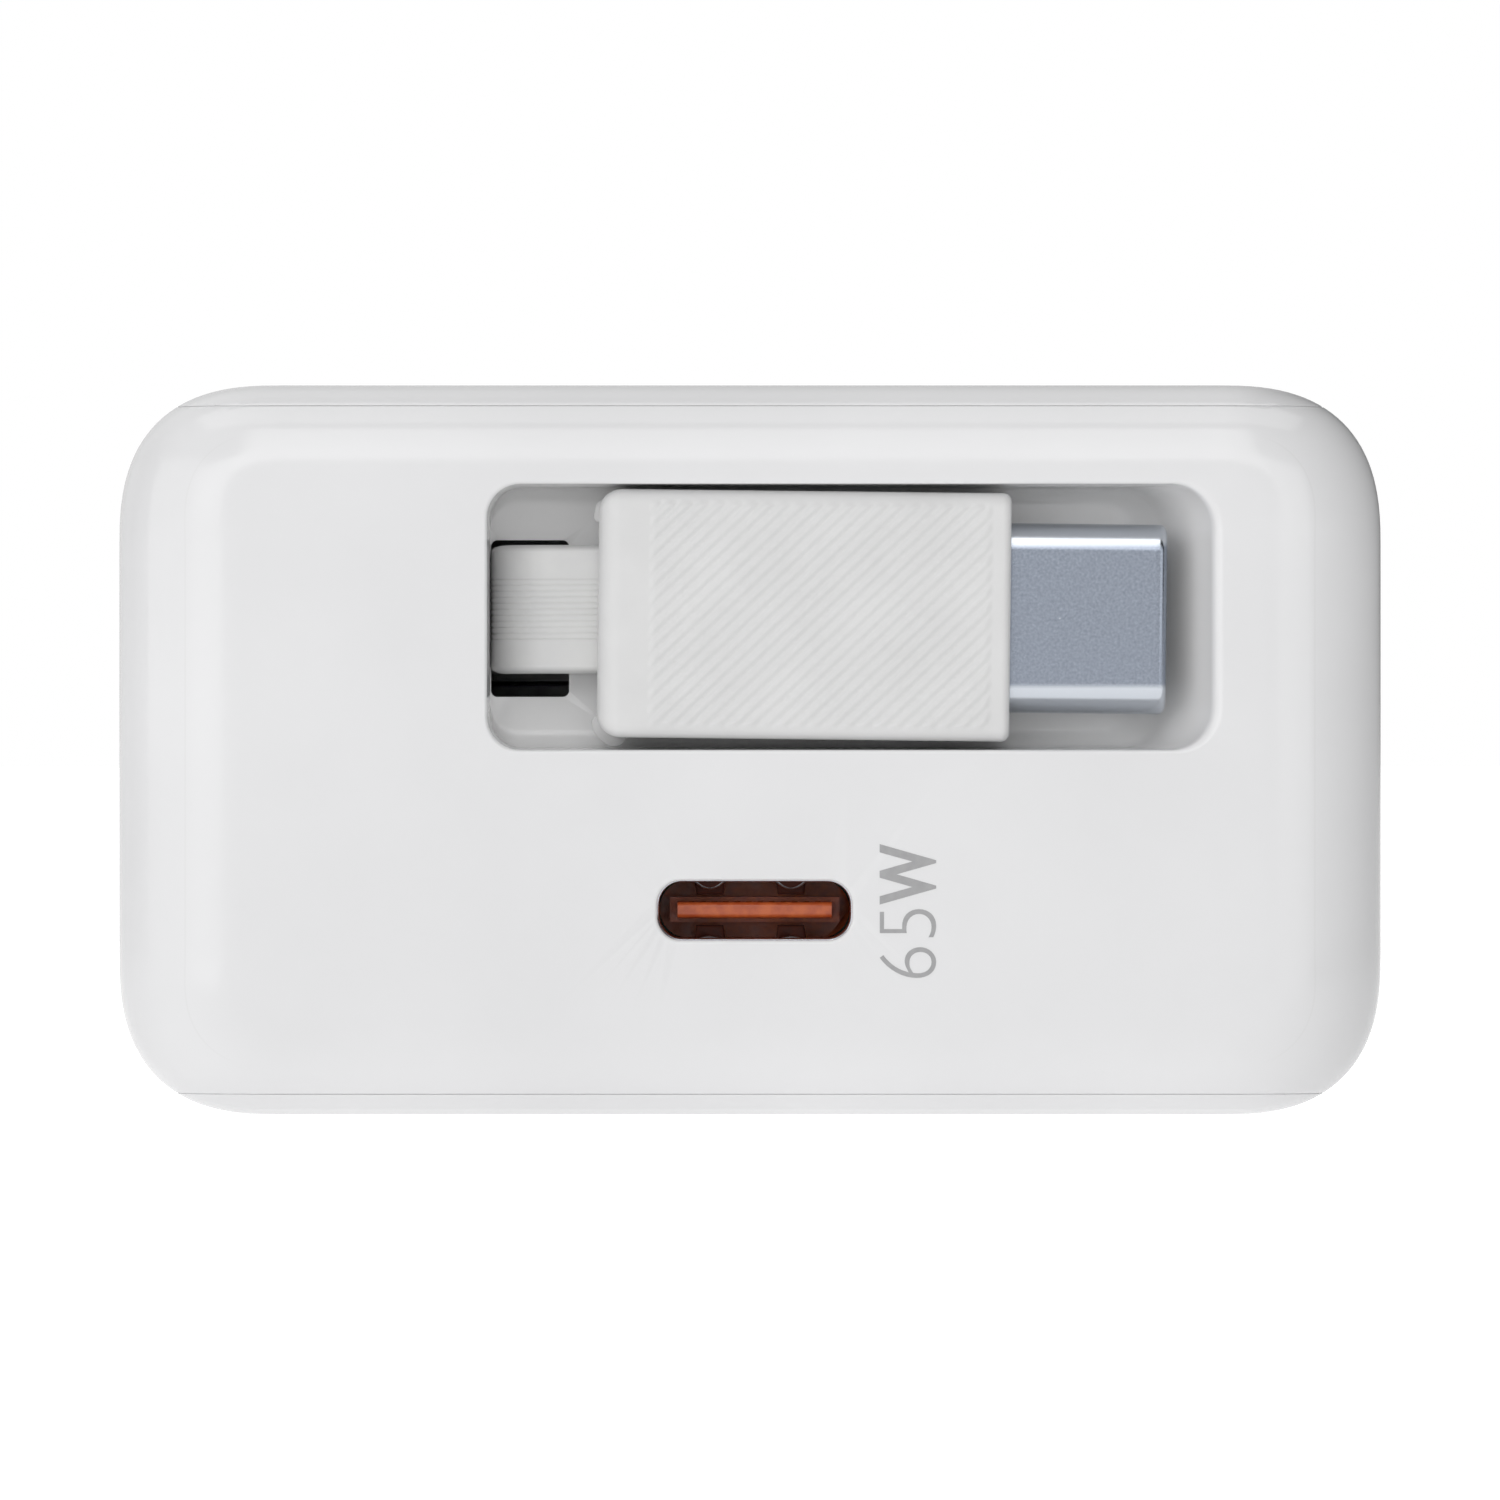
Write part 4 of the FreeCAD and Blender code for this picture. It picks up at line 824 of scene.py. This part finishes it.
def printText(text, stroke, start, length):
    # plain lettering in ink, reading upwards beside the socket, drawn out to its measured height and length
    curve = bpy.data.curves.new("powerRating", "FONT")
    curve.body = text
    curve.size = rating["size"] * mm
    curve.extrude = rating["thick"] * mm / 2
    curve.offset = stroke * mm
    curve.resolution_u = 8
    writing = bpy.data.objects.new("powerRatingText", curve)
    bpy.context.scene.collection.objects.link(writing)
    mesh = bpy.data.meshes.new_from_object(writing)
    bpy.data.objects.remove(writing)
    points = readPoints(mesh) / mm
    lowest, size = points.min(axis=0), np.ptp(points, axis=0)
    along = start + (points[:, 0] - lowest[0]) * length / size[0]
    up = rating["x"] - (points[:, 1] - lowest[1]) * rating["height"] / size[1]
    faces = [tuple(face.vertices) for face in mesh.polygons]
    bpy.data.meshes.remove(mesh)
    return np.stack([up, frontY - rating["thick"] / 2 - points[:, 2], along], axis=1), faces


ratingPiece = meshPiece("powerRating", [printText(*part) for part in rating["parts"]], smooth=False)
dress(ratingPiece, "gloss_white", "housing", "ink")
print("rating printed")


# ---- flat cable

ribbon = {
    "width": 5.6, "thick": 1.25, "edge": 0.3, "grooves": 10, "groovePitch": 0.262, "grooveDepth": 0.05,
    "legX": -10.68, "bend": 2.2, "centreZ": 22.02, "innerY": -22.6,
}
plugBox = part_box("plug_overmould")
plugY = (plugBox[0].y + plugBox[1].y) / 2 / mm


def ribbonSection():
    # across the strip: a rounded flat section, with a row of shallow cosine grooves on both faces
    r = ribbon
    half, deep = r["width"] / 2, r["thick"] / 2
    across = np.linspace(-half + r["edge"], half - r["edge"], 151)
    inGrooves = np.abs(across) < r["grooves"] * r["groovePitch"] / 2
    phase = np.cos(2 * math.pi * across / r["groovePitch"])
    dip = np.where(inGrooves, r["grooveDepth"] * np.clip(phase, 0, 1) ** 2, 0)
    turn = np.linspace(math.pi / 2, -math.pi / 2, 11)[1:-1]
    face = np.stack([across, deep - dip], axis=1)
    roundEdge = np.stack([half - r["edge"] + r["edge"] * np.cos(turn), deep * np.sin(turn)], axis=1)
    return np.concatenate([face, roundEdge, -face, -roundEdge])


def ribbonPath():
    # up the slot, a quarter turn, then along to the plug: points and the strip's outward way
    r = ribbon
    bendX, bendY = r["legX"] + r["bend"], plugY + r["bend"]
    endX = plugBox[0].x / mm + 0.6
    leg = [(r["legX"], y, -1.0, 0.0) for y in np.linspace(r["innerY"], bendY, 8)]
    turn = np.linspace(0, math.pi / 2, 17)[1:]
    bend = [(bendX - r["bend"] * math.cos(t), bendY - r["bend"] * math.sin(t), -math.cos(t), -math.sin(t))
            for t in turn]
    tail = [(x, plugY, 0.0, -1.0) for x in np.linspace(bendX, endX, 6)[1:]]
    return np.array(leg), np.array(bend + tail)


def sweepRibbon(path):
    # the section carried along the path, its thickness along the outward way and its width along Z
    section = ribbonSection()
    rings = np.zeros((len(path), len(section), 3))
    rings[:, :, 0] = path[:, 0, None] + path[:, 2, None] * section[None, :, 1]
    rings[:, :, 1] = path[:, 1, None] + path[:, 3, None] * section[None, :, 1]
    rings[:, :, 2] = ribbon["centreZ"] + section[None, :, 0]
    return rings


def buildRibbon():
    # two pieces: the leg up the slot, and the end that turns through the bend to the plug
    legPath, endPath = ribbonPath()
    fine = np.linspace(0, 1, 60)[:, None]
    legPath = legPath[0] + (legPath[-1] - legPath[0]) * fine
    leg = sweepRibbon(legPath)
    end = sweepRibbon(np.concatenate([legPath[-1:], endPath]))
    legPiece = meshPiece("ribbonLeg", [loft(leg), lid(leg[0]), lid(leg[-1])])
    endPiece = meshPiece("ribbonEnd", [loft(end), lid(end[0]), lid(end[-1])])
    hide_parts("ribbon_lead")
    for piece in (legPiece, endPiece):
        piece.data.materials.append(finishes["ribbon"])
    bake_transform(legPiece)
    bendStart, bendStop = endPath[0], endPath[-1]
    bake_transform(endPiece)


def levelRun():
    # the run behind the slot, brought to the height and width of the leg in front of it
    run = finishedCopy("ribbon_run", "ribbonRun", 0)
    bottom, top = (corner.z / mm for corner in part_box("ribbon_run"))
    points = readPoints(run.data)
    share = (points[:, 2] / mm - (bottom + top) / 2) / (top - bottom)
    points[:, 2] = (ribbon["centreZ"] + share * (ribbon["width"] - 0.06)) * mm
    run.data.vertices.foreach_set("co", points.ravel())
    dress(run, "soft_white", "housing", "ribbon")


buildRibbon()
levelRun()
print("flat cable swept")


# ---- plug

plugForm = {
    "left": -6.6, "right": 11.3, "centreZ": 21.75, "halfZ": 5.4, "halfY": 2.5,
    "sectionRound": 0.62, "leftRound": 1.0, "rightRound": 0.35, "lean": 0.65,
    "ribSpacing": 0.706, "ribHeight": 0.085, "ribLeft": -4.45, "ribRight": 10.55, "ribInset": 0.52,
    "ribAngle": 44.0,  # degrees from X
    # centre, reach and seed of each leaf
    "flash": ((-5.95, 17.05, 0.86, 0.95, 3), (-6.05, 26.3, 0.7, 0.72, 5)),
    "shellHalfZ": 4.125, "shellHalfY": 1.2, "shellWall": 0.25, "shellReach": 6.8,
}


def lean(points):
    # turned about Y through the overmould's middle, as the parked plug leans in its free play
    p = plugForm
    angle = math.radians(p["lean"])
    middleX = (p["left"] + p["right"]) / 2
    x, z = points[..., 0] - middleX, points[..., 2] - p["centreZ"]
    turned = np.array(points, float)
    turned[..., 0] = middleX + x * math.cos(angle) + z * math.sin(angle)
    turned[..., 2] = p["centreZ"] - x * math.sin(angle) + z * math.cos(angle)
    return turned


def ribHeight(x, z):
    # slanted raised-cosine ribs, faded out by a soft step at the borders of their field
    p = plugForm
    across = x - z / math.tan(math.radians(p["ribAngle"]))
    wave = (0.5 + 0.5 * np.cos(2 * math.pi * across / p["ribSpacing"])) ** 0.8
    field = smoothStep((x - p["ribLeft"]) / 0.35) * smoothStep((p["ribRight"] - x) / 0.35)
    field = field * smoothStep((p["halfZ"] - p["ribInset"] + 0.15 - np.abs(z)) / 0.35)
    return p["ribHeight"] * wave * field


def plugRing(x, section):
    # a section in Y and Z about the plug's own axis, at one X
    return np.column_stack([np.full(len(section), x), plugY + section[:, 0],
                            plugForm["centreZ"] + section[:, 1]])


def gripSkin():
    # rings along X: each ring is a rounded rectangle in Y and Z that draws in at both ends by a
    # quarter round, its broad faces raised by the ribs
    p = plugForm
    bodyX = np.linspace(p["left"] + p["leftRound"], p["right"] - p["rightRound"], 300)
    turn = np.linspace(0, math.pi / 2, 11)
    leftX = p["left"] + p["leftRound"] * (1 - np.cos(turn))
    leftDraw = p["leftRound"] * (1 - np.sin(turn))
    rightX = p["right"] - p["rightRound"] * (1 - np.cos(turn[::-1]))
    rightDraw = p["rightRound"] * (1 - np.sin(turn[::-1]))
    stations = np.concatenate([leftX[:-1], bodyX, rightX[1:]])
    draws = np.concatenate([leftDraw[:-1], np.zeros(len(bodyX)), rightDraw[1:]])
    faceSteps = 200
    rings = []
    for x, draw in zip(stations, draws):
        halfY, halfZ = p["halfY"] - draw, p["halfZ"] - draw
        radius = max(p["sectionRound"] - draw * 0.5, 0.3)
        face = np.linspace(halfZ - radius, -halfZ + radius, faceSteps)
        lift = ribHeight(np.full(faceSteps, x), face)
        corner = np.linspace(0, math.pi / 2, 9)[1:-1]
        sine, cosine = radius * np.sin(corner), radius * np.cos(corner)
        ledge = p["ribHeight"] * corner / (math.pi / 2)
        # anticlockwise seen from the plug's mouth: front face, lower rounds, back face, upper rounds
        front = np.stack([-halfY - lift + p["ribHeight"], face], axis=1)
        lowFront = np.stack([-halfY + radius - cosine + p["ribHeight"] - ledge,
                             -halfZ + radius - sine], axis=1)
        lowBack = np.stack([halfY - radius + sine, -halfZ + radius - cosine], axis=1)
        back = np.stack([halfY * np.ones(faceSteps), -face], axis=1)
        highBack = np.stack([halfY - radius + cosine, halfZ - radius + sine], axis=1)
        highFront = np.stack([-halfY + radius - sine + ledge, halfZ - radius + cosine], axis=1)
        section = np.concatenate([front, lowFront, lowBack, back, highBack, highFront])
        rings.append(plugRing(x, section))
    return lean(np.array(rings))


def obround(halfY, halfZ, steps=16):
    # a flat-sided loop in Y and Z with full round ends
    turn = np.linspace(-math.pi / 2, math.pi / 2, steps + 1)
    straight = halfZ - halfY
    upper = np.stack([halfY * np.sin(turn)[::-1] * -1, straight + halfY * np.cos(turn)], axis=1)
    return np.concatenate([upper, -upper])


def shellRings():
    # the drawn shell: a plain tube, a shallow turned lip at its mouth, back down inside
    p = plugForm
    right = p["right"] + p["shellReach"]
    profile = [(p["right"] - 0.4, 0.0), (p["right"] + 0.6, 0.0)]
    profile += [(x, 0.0) for x in np.linspace(p["right"] + 1.2, right - 0.5, 10)]
    for t in np.linspace(0, math.pi / 2, 8):
        profile.append((right - 0.34 + 0.34 * math.sin(t), -0.22 * (1 - math.cos(t))))
    for t in np.linspace(0, math.pi / 2, 5)[1:]:
        profile.append((right - 0.08 + 0.08 * math.cos(t), -0.22 - 0.06 * math.sin(t)))
    profile += [(right - 0.5, -0.28), (p["right"] + 0.2, -0.28)]
    rings = []
    for x, grow in profile:
        tip = smoothStep((x - right + 0.5) / 0.5)  # the mouth's corners draw in further than its flats
        rings.append(plugRing(x, obround(p["shellHalfY"] + grow, p["shellHalfZ"] + grow * (1 + 0.8 * tip))))
    return lean(np.array(rings))


def flashLump(x, z, halfX, halfZ, seed):
    # a thin leaf of flash on the mould's parting plane: an ellipse with an uneven rim, thinned at its edge
    rng = np.random.default_rng(seed)
    turn = np.linspace(0, 2 * math.pi, 49)[:-1]
    uneven = 1 + sum(rng.uniform(-0.07, 0.07) * np.cos(k * turn + rng.uniform(0, 6)) for k in range(2, 9))
    rings = []
    for share, y in ((0.96, 0.0), (1.0, 0.05), (1.0, 0.1), (0.9, 0.3)):
        rings.append(np.column_stack([x + halfX * share * uneven * np.cos(turn), np.full(48, plugY + y),
                                      z + halfZ * share * uneven * np.sin(turn)]))
    return [loft(rings), lid(rings[0]), lid(rings[-1])]


def buildPlug():
    # grip, drawn sleeve, flash and insert
    skin = gripSkin()
    grip = meshPiece("plugGrip", [loft(skin), lid(skin[0]), lid(skin[-1])])
    grip.modifiers.new("normals", "WEIGHTED_NORMAL").keep_sharp = True
    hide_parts("plug_overmould")
    dress(grip, "soft_white", "plug")
    rings = shellRings()
    shell = meshPiece("plugSleeve", [loft(rings)])
    shell.modifiers.new("normals", "WEIGHTED_NORMAL").keep_sharp = True
    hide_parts("plug_shell")
    dress(shell, "plated_steel", "plug")
    flash = [flashLump(*lump) for lump in plugForm["flash"]]
    dress(meshPiece("gripFlash", [part for lump in flash for part in lump]), "soft_white", "plug")
    insert = finishedCopy("plug_insulator", "plugInsert", 0.04)
    dress(insert, "black_plastic", "plug")


buildPlug()
print("plug built")


# ---- socket

socketForm = {"halfX": 4.15, "halfZ": 1.23, "wall": 0.35, "depth": 6.9, "mouth": 0.62, "lip": 0.12,
              "pockets": ((-1.75, 0.67), (1.78, 0.65)), "pocketDrop": 0.56, "pocketDepth": 1.9,
              "springDepth": 1.0, "springs": ((1, 0.7, 0.34), (-1, 0.55, 0.12))}


def socketLoop(grow):
    # the sleeve's inner outline, grown by so many millimetres
    e, f = socketEdge, socketForm
    return roundedLoop(e["x"] - f["halfX"] - grow, e["x"] + f["halfX"] + grow, e["z"] - f["halfZ"] - grow,
                       e["z"] + f["halfZ"] + grow, e["radius"] + grow - 0.05, arcSteps=14, sideSteps=8)


def hangFrom(side, half, x, start, depth, drop, power):
    # a pad on the socket's upper or lower wall, its free edge |x| to the given power, with a rounded brow
    share = np.linspace(-1, 1, 17)
    reach = drop * (1 - np.abs(share) ** power)
    wall = socketEdge["z"] + side * (socketForm["halfZ"] + 0.1)
    rings = []
    for inset, y in ((0.12, start), (0.03, start + 0.04), (0.0, start + 0.12), (0.0, start + depth)):
        free = wall - side * (0.1 + np.maximum(reach - inset, 0))
        x2 = x + share * (half - inset)
        rings.append(np.column_stack([np.concatenate([x2, x2[::-1]]), np.full(34, y),
                                      np.concatenate([free, np.full(17, wall)])]))
    return [loft(rings), lid(rings[0]), lid(rings[-1])]


def buildSocket():
    # sleeve, rounded lip, the pockets painted dark as painted shade with the springs before them, tongue and
    # contacts
    f = socketForm
    mouth = frontY + f["mouth"]
    outside, inside = socketLoop(f["wall"]), socketLoop(0.0)
    rings = [atDepth(outside, mouth + f["depth"]), atDepth(outside, mouth + f["lip"]),
             atDepth(inside, mouth + f["lip"]), atDepth(inside, mouth + f["depth"])]
    sleeve = meshPiece("socketSleeve", [loft(rings + rings[:1])])
    finishEdges(sleeve, 0)
    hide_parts("socket_shell")
    # the sleeve's steel is painted brown as a painted reflection of the orange resin
    dress(sleeve, "plated_steel", "housing", "sleeveReflectionPainted")
    lipRings = [atDepth(outside, mouth + f["lip"]), atDepth(socketLoop(0.28), mouth),
                atDepth(socketLoop(0.1), mouth), atDepth(socketLoop(0.03), mouth + 0.03),
                atDepth(inside, mouth + f["lip"])]
    lip = meshPiece("socketLip", [loft(lipRings + lipRings[:1])])
    dress(lip, "plated_steel", "housing")
    pockets, springs, shades = [], [], []
    for x, pocketHalf in f["pockets"]:
        for side, half, drop in f["springs"]:
            pockets += hangFrom(side, pocketHalf, x, mouth + f["pocketDepth"], 2.0, f["pocketDrop"], 40)
            springs += hangFrom(side, half, x, mouth + f["springDepth"], 0.25, drop, 2)
            shades += hangFrom(side, half - 0.16, x, mouth + f["springDepth"] - 0.1, 0.3, drop - 0.08, 2)
    # the pockets and the pads behind the springs are dark pieces of painted shade
    dress(meshPiece("socketPocketsPaintedShade", pockets + shades), "orange_plastic", "housing", "pocketPaintedShade")
    dress(meshPiece("socketSprings", springs), "plated_steel", "housing", "spring_steel")
    tongue = finishedCopy("socket_body", "socketTongue", 0.05, 2)
    dress(tongue, "orange_plastic", "housing")
    # the contacts, pressed in until they stand a hair proud of the tongue
    contacts = finishedCopy("socket_contacts", "socketContacts", 0)
    points = readPoints(contacts.data)
    offset = points[:, 2] / mm - socketEdge["z"]
    near = np.abs(offset) < 0.5
    points[:, 2] = np.where(near, points[:, 2] - np.sign(offset) * 0.05 * mm, points[:, 2])
    contacts.data.vertices.foreach_set("co", points.ravel())
    dress(contacts, "gold_contact", "housing")


buildSocket()
print("socket built")


# ---- back plate, prongs and cable guide

for node, name, slotName, body, bevel in (
    ("back_plate", "backPlate", "gloss_white", "housing", 0.15),
    ("prong_carrier", "prongCarrier", "gloss_white", "prongs", 0.1),
    ("prong_blades", "prongBlades", "brass_blade", "prongs", 0.18),
    ("cable_guide", "cableGuide", "black_plastic", "housing", 0.12),
):
    dress(finishedCopy(node, name, bevel, 3), slotName, body)
print("back built")
